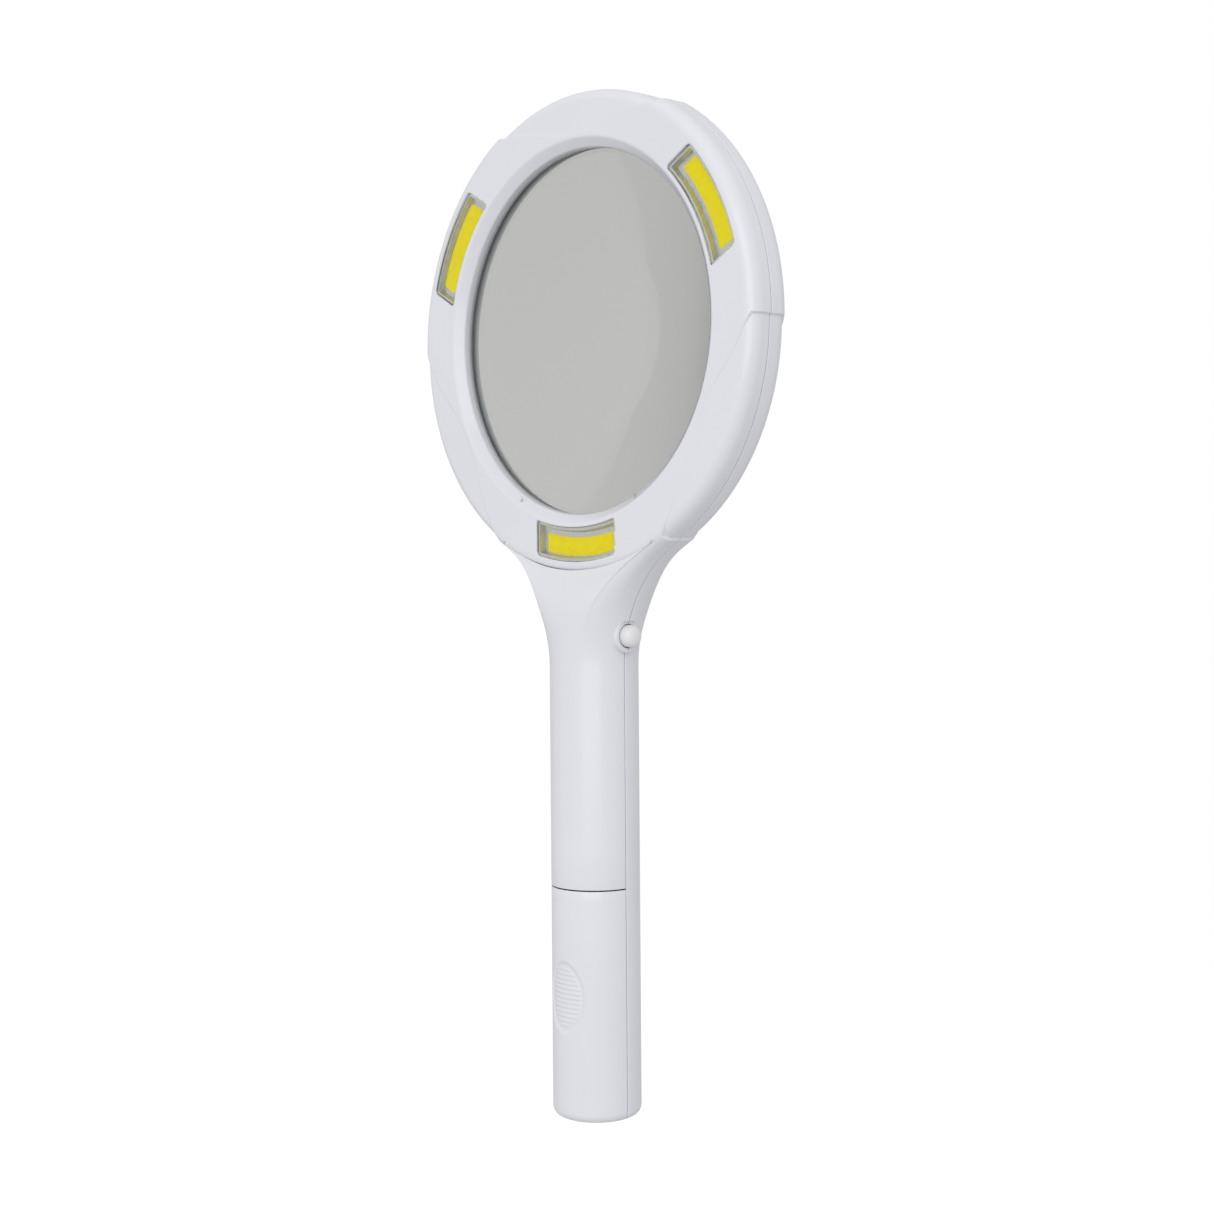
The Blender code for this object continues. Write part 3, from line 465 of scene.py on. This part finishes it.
# (radius, depth) from the lip to the seam at one angle round the rim
def skinColumn(angle, toSeam=True):
    edge = breakR(angle)
    low = lowWeight(angle)
    soft = crescent["soft"]
    raised = outerProfile(rimEdge(angle, False), False)
    sunk = outerProfile(rimEdge(angle, True), True)
    highStart = lengthAt(raised, rim["faceStart"])
    highEnd = lengthAt(raised, edge - soft)
    points = list(lipPoints)
    for k in range(1, innerRows + 1):
        t = 1 - (1 - k / innerRows) ** 1.5
        points.append(alongProfile(raised, mix(highStart, highEnd, t)))
    highLengths = stripLengths(lengthAt(raised, edge + soft))
    sunkEdge = min(edge + soft, rimEdge(angle, True) - 0.02)
    lowLengths = stripLengths(lengthAt(sunk, sunkEdge))
    strip = []
    for a, b in zip(highLengths, lowLengths):
        high = Vector(alongProfile(raised, a))
        dropped = Vector(alongProfile(sunk, b))
        point = high.lerp(dropped, low)
        strip.append((point.x - softEdge(point.y), point.y))
    strip.reverse()
    before = Vector(points[-1])
    after = Vector(strip[0])
    for k in range(1, stepRows):
        t = k / stepRows
        flatMove = before.lerp(after, t)
        depth = mix(before.y, after.y, smoothStep(t))
        points.append((flatMove.x, depth))
    return points + strip if toSeam else points + strip[:1]


# the rim's columns, closer together at the crescents' ends
def rimAngles():
    soft = crescent["endSoft"]
    ends = [a + s * crescent["half"] + (360 if a < 270 else 0) for a in crescent["angles"] for s in (-1, 1)]
    count = round((rimEnd - rimStart) / rim["columnStep"])
    angles = [rimStart + (rimEnd - rimStart) * k / count for k in range(count + 1)]
    kept = [a for a in angles if min(abs(a - e) for e in ends) > soft * 1.6]
    for e in ends:
        kept += [e + soft * k / 4 for k in range(-5, 6)]
    return sorted(a for a in kept if rimStart <= a <= rimEnd)


# beta runs from 0 at +X over the front to 180 at -X
def handlePoint(beta, z):
    b = math.radians(beta)
    y = seamY + (handleR - seamY) * math.sin(b)
    return Vector(((handleR - softEdge(y)) * math.cos(b), -y, z))


def handleBetas():
    side = [math.degrees(s / handleR) for s in edgeLengths]
    side += [mix(side[-1], neck["strip"], k / sideRows) for k in range(1, sideRows + 1)]
    columns = neck["columns"]
    middle = [mix(neck["strip"], 180 - neck["strip"], k / columns) for k in range(1, columns)]
    return side + middle + [180 - b for b in reversed(side)]


# depth of the neck's flat front, from the rim's face to the handle's front
def neckDepth(z):
    return mix(rim["faceY"], handleR, smoothStep((neck["start"] - z) / neck["rise"]))


# one row across the neck, w from 0 at the rim to 1 at the handle
def neckRow(w):
    alpha = math.radians(180 - (90 - neckHalf) * (1 - w))
    inward = Vector((math.cos(alpha), 0, math.sin(alpha)))
    edge = Vector((neckX, 0, neckZ)) + neck["fillet"] * inward
    blend = smoothStep(w)
    strip = [(padR - r, y) for r, y in reversed(skinColumn(rimStart)[-stripRows:])]
    row = []
    for (inset, depth), beta in zip(strip, handleBetas()):
        b = math.radians(beta)
        roundDepth = seamY + (handleR - seamY) * math.sin(b)
        roundInset = handleR - (handleR - softEdge(roundDepth)) * math.cos(b)
        place = edge + inward * mix(inset, roundInset, blend)
        square = seamY + (depth - seamY) * (neckDepth(place.z) - seamY) / (rim["faceY"] - seamY)
        row.append(place - Vector((0, mix(square, roundDepth, blend), 0)))
    side = list(row)
    corner = side[-1]
    arcR = padR - strip[-1][0]
    rimTurn = math.radians(neckHalf)
    handleTurn = math.radians(90 - neck["strip"])
    for k in range(1, neck["columns"]):
        c = 1 - 2 * k / neck["columns"]
        flat = math.sin(rimTurn * c) / math.sin(rimTurn)
        turned = math.sin(handleTurn * c) / math.sin(handleTurn)
        sag = arcR * (math.cos(rimTurn * c) - math.cos(rimTurn))
        z = corner.z - sag * (1 - blend)
        roundDepth = seamY + (handleR - seamY) * math.cos(handleTurn * c)
        depth = mix(neckDepth(z), roundDepth, blend)
        row.append(Vector((corner.x * mix(flat, turned, blend), -depth, z)))
    return row + [Vector((-p.x, p.y, p.z)) for p in reversed(side)]


handle = {
    "endFillet": 2.8,
    "gapEdge": ((0.0, 0.22), (0.08, 0.06), (0.25, 0.0)),    # (away from the door's gap, how far in)
}


# (how far in, height) of the rows round the handle's lower end and across its flat
def endRows():
    fillet = handle["endFillet"]
    turns = [math.radians(7.5 * k) for k in range(1, 13)]
    rows = [(fillet * (1 - math.cos(t)), handleEnd + fillet - fillet * math.sin(t)) for t in turns]
    return rows + [(handleR - (handleR - fillet) * share, handleEnd) for share in (0.75, 0.5, 0.25, 0.0)]


def insetPoint(beta, shrink, z):
    point = handlePoint(beta, z)
    scale = (handleR - shrink) / handleR
    return Vector((point.x * scale, -seamY + (point.y + seamY) * scale, z))


# merges a sheet's patches and turns its outside to the front, judged by the handle's largest face
def closeSheet(bm):
    bmesh.ops.remove_doubles(bm, verts=bm.verts, dist=0.004)
    bmesh.ops.recalc_face_normals(bm, faces=bm.faces)
    face = max(bm.faces, key=lambda f: f.calc_area() * (-60 < f.calc_center_median().z < 40))
    if face.normal.y > 0:
        bmesh.ops.reverse_faces(bm, faces=bm.faces)


# front half of the outer skin, from the lip to the last handle row
def shellSkin(handleStops, withEnd):
    bm = bmesh.new()
    angles = rimAngles()
    columns = [skinColumn(a) for a in angles]

    def rimPlace(i, j):
        radius, depth = columns[i][j]
        return ringPoint(angles[i], radius, -depth)

    gridPatch(bm, len(angles) - 1, len(columns[0]) - 1, rimPlace)
    lowColumn = skinColumn(rimStart, False)

    def lowPlace(i, j):
        radius, depth = lowColumn[j]
        return ringPoint(rimEnd + 2 * neckHalf * i / neck["columns"], radius, -depth)

    gridPatch(bm, neck["columns"], len(lowColumn) - 1, lowPlace)
    betas = handleBetas()
    lines = [neckRow(k / neck["rows"]) for k in range(neck["rows"] + 1)]
    for z in handleStops:
        lines.append([handlePoint(b, z) for b in betas])
    if withEnd:
        for shrink, z in endRows():
            lines.append([insetPoint(b, shrink, z) for b in betas])
    gridPatch(bm, len(betas) - 1, len(lines) - 1, lambda i, j: lines[j][i])
    closeSheet(bm)
    return bm


def thicken(piece):
    solid = piece.modifiers.new("wall", "SOLIDIFY")
    solid.thickness = rim["wall"] * mm
    solid.offset = -1
    solid.use_even_offset = True


window = {
    "angles": {"right": 30.0, "left": 150.0, "bottom": 270.0},
    "inR": 57.44,
    "outR": 67.42,
    "half": 17.0,
    "corner": 1.1,
    "gap": 0.12,
    "coverFront": -7.5,
    "coverBack": -6.55,
    "coverRound": 0.45,
    "cut": (-12.0, -4.4),    # depths between which the casing is opened
}


# a block with concentric long sides and parallel ends, grown all round
def windowBlock(angle, size, front, back, grow=0.0):
    bm = bmesh.new()
    columns = 28
    half = size["half"] + grow

    def place(i, j):
        along = mix(-half, half, i / columns)
        radius = mix(size["inR"] - grow, size["outR"] + grow, j)
        return Vector((math.sqrt(radius ** 2 - along ** 2), front, along))

    gridPatch(bm, columns, 1, place)
    grown = bmesh.ops.extrude_face_region(bm, geom=bm.faces[:])
    moved = [v for v in grown["geom"] if isinstance(v, bmesh.types.BMVert)]
    bmesh.ops.translate(bm, vec=(0, back - front, 0), verts=moved)
    bmesh.ops.recalc_face_normals(bm, faces=bm.faces)
    corners = [e for e in bm.edges if abs(e.verts[0].co.y - e.verts[1].co.y) > 0.1
               and abs(abs(e.verts[0].co.z) - half) < 0.01]
    bmesh.ops.bevel(bm, geom=corners, offset=size["corner"] + grow, segments=5, profile=0.5,
                    affect="EDGES", material=-1)
    turn = Matrix.Translation((0, 0, ringZ)) @ Matrix.Rotation(math.radians(-angle), 4, "Y")
    bmesh.ops.transform(bm, matrix=turn, verts=bm.verts)
    return bm


# flat faces at one depth, and the edges round them
def facesAt(bm, y):
    return [f for f in bm.faces if abs(f.calc_center_median().y - y) < 0.01 and abs(f.normal.y) > 0.9]


def borderEdges(bm, y):
    faces = set(facesAt(bm, y))
    return [e for e in bm.edges if len([f for f in e.link_faces if f in faces]) == 1]


def windowCuts():
    bm = bmesh.new()
    for angle in window["angles"].values():
        part = windowBlock(angle, window, *window["cut"], window["gap"])
        mesh = bpy.data.meshes.new("cut")
        part.to_mesh(mesh)
        part.free()
        bm.from_mesh(mesh)
        bpy.data.meshes.remove(mesh)
    return addPiece("windowCuts", bm, None, None)


def roundCut(name, radius, start, end):
    bm = bmesh.new()
    start = Vector(start)
    end = Vector(end)
    made = bmesh.ops.create_cone(bm, cap_ends=True, segments=64, radius1=radius, radius2=radius,
                                 depth=(end - start).length)
    turn = (end - start).to_track_quat("Z", "Y").to_matrix().to_4x4()
    bmesh.ops.transform(bm, matrix=Matrix.Translation((start + end) / 2) @ turn, verts=made["verts"])
    return addPiece(name, bm, None, None)


collar = {
    "hole": 4.3,    # opening in the casing's side
    "outR": 5.0,
    "boreR": 3.55,
    "start": 11.4,
    "end": 14.9,
    "edge": 0.5,
    "chamfer": 0.2,
    "seamGap": 0.1,    # each half stops this far from the seam
}
screwNames = ("screw_ring_top", "screw_ring_left", "screw_ring_right", "screw_neck", "screw_handle")
well = {"radius": 2.9, "wall": 0.9, "floor": 3.0, "holeR": 1.5, "bottom": 1.5, "sunk": 0.7}


def cutButtonHole(shell):
    applyCut(shell, roundCut("buttonHole", collar["hole"], (8, 0, buttonZ), (20, 0, buttonZ)))


def makeFrontShell():
    last = [shellEnd + away for away, inset in reversed(handle["gapEdge"])]
    bm = shellSkin([mix(neckZ, last[0], k / 6) for k in range(1, 7)] + last[1:], False)
    for vert in bm.verts:
        for away, inset in handle["gapEdge"]:
            if abs(vert.co.z - shellEnd - away) < 0.02:
                flat = Vector((vert.co.x, vert.co.y + seamY, 0))
                vert.co -= flat.normalized() * inset
    shell = addPiece("frontShellSkin", bm, whitePlastic, "root", ["front_shell"], 40)
    thicken(shell)
    applyCut(shell, windowCuts())
    cutButtonHole(shell)


def screwPlaces():
    places = []
    for name in screwNames:
        low, high = boxMm(name)
        places.append(((low.x + high.x) / 2, (low.z + high.z) / 2))
    return places


def makeBackShell():
    bm = shellSkin([mix(neckZ, handleEnd + handle["endFillet"], k / 10) for k in range(1, 11)], True)
    bmesh.ops.scale(bm, vec=(1, -1, 1), verts=bm.verts)
    bmesh.ops.reverse_faces(bm, faces=bm.faces)
    shell = addPiece("backShellSkin", bm, whitePlastic, "root", ["back_shell"], 40)
    thicken(shell)
    cutButtonHole(shell)
    for x, z in screwPlaces():
        applyCut(shell, roundCut("wellCut", well["radius"], (x, 4.0, z), (x, 20, z)))


# depth of the casing's surface over a screw
def surfaceDepth(x, z):
    if z > neck["start"]:
        return faceDepth(math.hypot(x, z - ringZ), True)
    return neck["screwDepth"] if z > neckZ else handleR


def makeWells():
    for k, (x, z) in enumerate(screwPlaces()):
        inner = well["radius"]
        outer = inner + well["wall"]
        top = surfaceDepth(x, z) - well["sunk"]
        floor = well["floor"]
        bottom = floor - well["bottom"]
        profile = [(well["holeR"], floor), (inner, floor), (inner, top), (outer, top), (outer, bottom),
                   (well["holeR"], bottom)]
        bm = lathe(profile, (0, 1, 0), (x, 0, z), 48)
        if neckZ < z < neck["start"]:    # the neck's surface slopes there
            for vert in bm.verts:
                if vert.co.y > floor + 1:
                    vert.co.y += neck["slope"] * (vert.co.z - z)
        addPiece("screwWell%d" % (k + 1), bm, whitePlastic)


bay = {"top": (-8.0, -6.4), "end": (-64.6, -63.0), "radius": 11.2, "backWall": 0.9, "edge": 0.2}


# the two bulkheads that close the battery bay
def makeBay():
    for name, (low, high) in (("bayTop", bay["top"]), ("bayEnd", bay["end"])):
        bm = bmesh.new()
        made = bmesh.ops.create_cone(bm, cap_ends=True, segments=96, radius1=bay["radius"],
                                     radius2=bay["radius"], depth=high - low)
        bmesh.ops.translate(bm, vec=(0, 0, (low + high) / 2), verts=made["verts"])
        for vert in bm.verts:
            if vert.co.y > 0.5:    # the back half reaches into the casing's wall
                flat = Vector((vert.co.x, vert.co.y, 0)).normalized() * (handleR - bay["backWall"])
                vert.co = Vector((flat.x, flat.y, vert.co.z))
        rims = [e for e in bm.edges if abs(e.verts[0].co.z - e.verts[1].co.z) < 0.01]
        bmesh.ops.bevel(bm, geom=rims, offset=bay["edge"], segments=2, profile=0.5, affect="EDGES",
                        material=-1)
        addPiece(name, bm, whitePlastic)


def makeCollar():
    outR, boreR, start, end, edge = (collar[key] for key in ("outR", "boreR", "start", "end", "edge"))
    profile = [(boreR, start), (outR, start)]
    for k in range(6):
        t = math.radians(18 * k)
        profile.append((outR - edge + edge * math.cos(t), end - edge + edge * math.sin(t)))
    profile += [(boreR + collar["chamfer"], end), (boreR, end - collar["chamfer"])]
    for name, side in (("collarFront", -1), ("collarBack", 1)):
        bm = lathe(profile, (1, 0, 0), (0, 0, buttonZ), 96)
        cut = bmesh.ops.bisect_plane(bm, geom=bm.verts[:] + bm.edges[:] + bm.faces[:],
                                     plane_co=(0, side * collar["seamGap"], 0), plane_no=(0, side, 0),
                                     clear_inner=True)
        bmesh.ops.holes_fill(bm, edges=[g for g in cut["geom_cut"] if isinstance(g, bmesh.types.BMEdge)])
        bmesh.ops.recalc_face_normals(bm, faces=bm.faces)
        addPiece(name, bm, whitePlastic)


grip = {
    "middle": -35.4,
    "tall": 11.0,    # half height of the thumb oval
    "wide": 7.6,    # half width along the surface
    "deep": 0.5,
    "edge": 1.0,
    "ribs": 1.38,
    "ribTall": 0.24,
    "ribInset": 1.3,
    "ribFade": 0.5,
    "rowStep": 0.18,
}


# how far the door's surface moves in at a point of the thumb grip
def gripDepth(beta, z):
    u = math.radians(beta - 90) * handleR / grip["wide"]
    v = (z - grip["middle"]) / grip["tall"]
    away = (1 - math.hypot(u, v)) * min(grip["wide"], grip["tall"])
    if away <= 0:
        return 0.0
    depth = grip["deep"] * smoothStep(away / grip["edge"])
    inner = smoothStep((away - grip["ribInset"]) / grip["ribFade"])
    wave = 0.5 + 0.5 * math.cos(2 * math.pi * (z - grip["middle"]) / grip["ribs"])
    return depth - inner * grip["ribTall"] * (0.15 + 0.85 * wave ** 1.4)


def makeDoor():
    bm = bmesh.new()
    betas = [math.degrees(s / handleR) for s in edgeLengths[:-1]]
    betas += [mix(betas[-1] + 0.6, 90, k / 60) for k in range(61)]
    betas += [180 - b for b in reversed(betas[:-1])]
    lines = [[insetPoint(b, inset, doorTop - away) for b in betas] for away, inset in handle["gapEdge"]]
    start = doorTop - handle["gapEdge"][-1][0]
    fine = grip["middle"] + grip["tall"] + 0.5
    fineRows = int((2 * grip["tall"] + 1.0) / grip["rowStep"])
    stops = [mix(start, fine, k / 8) for k in range(1, 9)]
    stops += [fine - grip["rowStep"] * k for k in range(1, fineRows + 1)]
    stops += [mix(stops[-1], handleEnd + handle["endFillet"], k / 8) for k in range(1, 9)]
    for z in stops:
        lines.append([insetPoint(b, gripDepth(b, z), z) for b in betas])
    for shrink, z in endRows():
        lines.append([insetPoint(b, shrink, z) for b in betas])
    gridPatch(bm, len(betas) - 1, len(lines) - 1, lambda i, j: lines[j][i])
    closeSheet(bm)
    door = addPiece("batteryDoorSkin", bm, whitePlastic, "battery_door", ["battery_door"], 40)
    thicken(door)


makeFrontShell()
print("front shell done")
makeBackShell()
makeWells()
makeBay()
makeCollar()
makeDoor()
print("back shell and door done")


seat = {"inR": 54.15, "edgeR": 55.2, "outR": 56.4, "front": 6.4, "slope": 4.2, "back": 2.3}
lensShape = {"edge": 1.9}    # half its thickness at the edge


# two rings inside the casing that hold the lens's edge
def makeSeats():
    for name, side in (("lensSeatFront", -1), ("lensSeatBack", 1)):
        profile = [(seat["outR"], seamY), (seat["edgeR"], seamY), (seat["edgeR"], seat["back"]),
                   (seat["inR"], seat["back"]), (seat["inR"], seat["slope"]), (seat["outR"], seat["front"])]
        addPiece(name, lathe(profile, (0, side, 0), (0, 0, ringZ), 192), whitePlastic)


def makeLens():
    radius = lensHigh.x
    edge = lensShape["edge"]
    middle = lensHigh.y
    ball = (radius ** 2 + (middle - edge) ** 2) / (2 * (middle - edge))
    steps = [radius * k / 32 for k in range(33)]
    points = [(r, middle - ball + math.sqrt(ball ** 2 - r ** 2)) for r in steps]
    profile = points + [(r, -h) for r, h in reversed(points)]
    bm = lathe(profile, (0, -1, 0), (0, 0, ringZ), 192)
    lens = addPiece("lensBlank", bm, lensGlass, "root", ["lens"], 30)
    lens.data.materials.append(groundEdgeWithPaintedCyan)
    for face in lens.data.polygons:
        if abs(face.normal.y) < 0.1:
            face.material_index = 1


makeSeats()
makeLens()
print("lens done")


tray = {"inset": 0.05, "front": -6.5, "back": -4.2, "floor": -5.0, "lip": 0.85, "slope": 0.55}
ledStrip = {
    "inR": 60.3,
    "outR": 65.7,
    "half": 14.05,
    "corner": 1.0,
    "front": -5.15,
    "back": -4.55,
    "round": 0.2,
}


def makeCover(place, angle):
    bm = windowBlock(angle, window, window["coverFront"], window["coverBack"])
    bmesh.ops.bevel(bm, geom=borderEdges(bm, window["coverFront"]), offset=window["coverRound"],
                    segments=4, profile=0.5, affect="EDGES", material=-1)
    addPiece("cover" + place, bm, clearPlastic, "root", ["window_cover_" + place.lower()], 30)


def makeTray(place, angle):
    bm = windowBlock(angle, window, tray["front"], tray["back"], -tray["inset"])
    front = facesAt(bm, tray["front"])
    bmesh.ops.inset_region(bm, faces=front, thickness=tray["lip"], use_even_offset=True)
    bmesh.ops.inset_region(bm, faces=front, thickness=tray["slope"], use_even_offset=True)
    verts = list({v for f in front for v in f.verts})
    bmesh.ops.translate(bm, vec=(0, tray["floor"] - tray["front"], 0), verts=verts)
    addPiece("reflector" + place, bm, reflectorMetal, "root", ["reflector_" + place.lower()], 25)


def makeStrip(place, angle):
    bm = windowBlock(angle, ledStrip, ledStrip["front"], ledStrip["back"])
    bmesh.ops.bevel(bm, geom=borderEdges(bm, ledStrip["front"]), offset=ledStrip["round"],
                    segments=3, profile=0.5, affect="EDGES", material=-1)
    addPiece("ledStrip" + place, bm, yellowPhosphor, "root", ["led_strip_" + place.lower()], 40)


for place, angle in window["angles"].items():
    makeCover(place.capitalize(), angle)
    makeTray(place.capitalize(), angle)
    makeStrip(place.capitalize(), angle)
print("windows done")


cap = {"radius": 3.3, "dome": 2.2, "power": 0.8, "flangeR": 4.2, "flangeOut": 10.6, "flangeIn": 9.6}


def makeButton():
    tip = buttonHigh.x
    profile = [(0.0, tip)]
    for k in range(1, 15):
        t = math.radians(90 * k / 14)
        profile.append((cap["radius"] * math.sin(t) ** cap["power"], tip - cap["dome"] * (1 - math.cos(t))))
    profile += [(cap["radius"], cap["flangeOut"]), (cap["flangeR"], cap["flangeOut"]),
                (cap["flangeR"], cap["flangeIn"]), (0.0, cap["flangeIn"])]
    addPiece("buttonCap", lathe(profile, (1, 0, 0), (0, 0, buttonZ), 64), buttonPlastic, "power_button",
             ["power_button"], 30)


makeButton()
print("button done")


stageLook = {
    "floorZ": -0.30,
    "floorSize": 30.0,
    "glow": 0.30,
    "brightFrom": (-0.10, -0.35, 0.75),
    "dim": 0.55,
    "bright": 0.84,
    "boxTurn": 38.0,    # the large softbox, degrees round from the front and up
    "boxRise": 16.0,
    "boxAway": 1.6,
    "boxAim": (0, 0, 0.08),
    "boxSize": (1.5, 1.5),
    "boxPower": 9.0,
}


def makeFloor():
    bm = bmesh.new()
    bmesh.ops.create_grid(bm, x_segments=2, y_segments=2, size=stageLook["floorSize"] / 2)
    bmesh.ops.translate(bm, vec=(0, 0, stageLook["floorZ"]), verts=bm.verts)
    mesh = bpy.data.meshes.new("studioFloor")
    bm.to_mesh(mesh)
    bm.free()
    floor = bpy.data.objects.new("studioFloor", mesh)
    bpy.context.scene.collection.objects.link(floor)
    material, shader, tree = newMaterial("palePaper", (0.9, 0.9, 0.9), 0.8)
    paper = objectNoise(tree, 40.0)
    tree.links.new(ramp(tree, paper.outputs["Fac"], (0.89, 0.89, 0.89), (0.91, 0.91, 0.91)),
                   shader.inputs["Base Color"])
    shader.inputs["Emission Color"].default_value = (1, 1, 1, 1)
    shader.inputs["Emission Strength"].default_value = stageLook["glow"]
    mesh.materials.append(material)
    floor.visible_diffuse = False    # the room's own light reaches the underside
    floor.visible_glossy = False
    floor.visible_transmission = False


def makeWorld():
    world = bpy.data.worlds.new("softStudio")
    bpy.context.scene.world = world
    world.use_nodes = True
    tree = world.node_tree
    background = tree.nodes["Background"]
    background.inputs["Color"].default_value = (1, 1, 1, 1)
    coords = tree.nodes.new("ShaderNodeTexCoord")
    toward = tree.nodes.new("ShaderNodeVectorMath")
    toward.operation = "DOT_PRODUCT"
    toward.inputs[1].default_value = Vector(stageLook["brightFrom"]).normalized()
    tree.links.new(coords.outputs["Generated"], toward.inputs[0])
    fall = tree.nodes.new("ShaderNodeMapRange")
    fall.inputs["From Min"].default_value = -1.0
    fall.inputs["To Min"].default_value = stageLook["dim"]
    fall.inputs["To Max"].default_value = stageLook["bright"]
    tree.links.new(toward.outputs["Value"], fall.inputs["Value"])
    path = tree.nodes.new("ShaderNodeLightPath")
    pick = tree.nodes.new("ShaderNodeMix")
    pick.data_type = "RGBA"
    pick.inputs["B"].default_value = (1, 1, 1, 1)
    tree.links.new(path.outputs["Is Camera Ray"], pick.inputs["Factor"])
    tree.links.new(fall.outputs["Result"], pick.inputs["A"])
    tree.links.new(pick.outputs["Result"], background.inputs["Color"])


# direction turn degrees round from the front and rise degrees up
def outward(turn, rise):
    a = math.radians(turn)
    e = math.radians(rise)
    return Vector((math.sin(a) * math.cos(e), -math.cos(a) * math.cos(e), math.sin(e)))


def makeSoftbox():
    look = stageLook
    data = bpy.data.lights.new("keyBox", "AREA")
    data.shape = "RECTANGLE"
    data.size, data.size_y = look["boxSize"]
    data.energy = look["boxPower"]
    lamp = bpy.data.objects.new("keyBox", data)
    bpy.context.scene.collection.objects.link(lamp)
    away = look["boxAway"] * outward(look["boxTurn"], look["boxRise"])
    aim = (-away).to_track_quat("-Z", "Y").to_matrix().to_4x4()
    lamp.matrix_world = Matrix.Translation(Vector(look["boxAim"]) + away) @ aim
    lamp.visible_transmission = False    # no bright patch inside the lens


cameraSet = {"place": (423.69, -389.41, 94.68), "yaw": 47.02, "pitch": 1.56, "roll": -0.43, "lens": 57.5}


def makeCamera():
    data = bpy.data.cameras.new("camera")
    data.sensor_width = 36
    data.lens = cameraSet["lens"]
    data.clip_start = 0.01
    camera = bpy.data.objects.new("camera", data)
    bpy.context.scene.collection.objects.link(camera)
    a = math.radians(cameraSet["yaw"])
    r = math.radians(cameraSet["roll"])
    back = outward(cameraSet["yaw"], cameraSet["pitch"])
    right = Vector((math.cos(a), math.sin(a), 0))
    up = back.cross(right)
    turnedRight = right * math.cos(r) + up * math.sin(r)
    turnedUp = up * math.cos(r) - right * math.sin(r)
    turn = Matrix((turnedRight, turnedUp, back)).transposed().to_4x4()
    camera.matrix_world = Matrix.Translation(Vector(cameraSet["place"]) * mm) @ turn
    bpy.context.scene.camera = camera


makeFloor()
makeWorld()
makeSoftbox()
makeCamera()
bpy.context.scene.view_settings.view_transform = "Standard"
print("stage done")
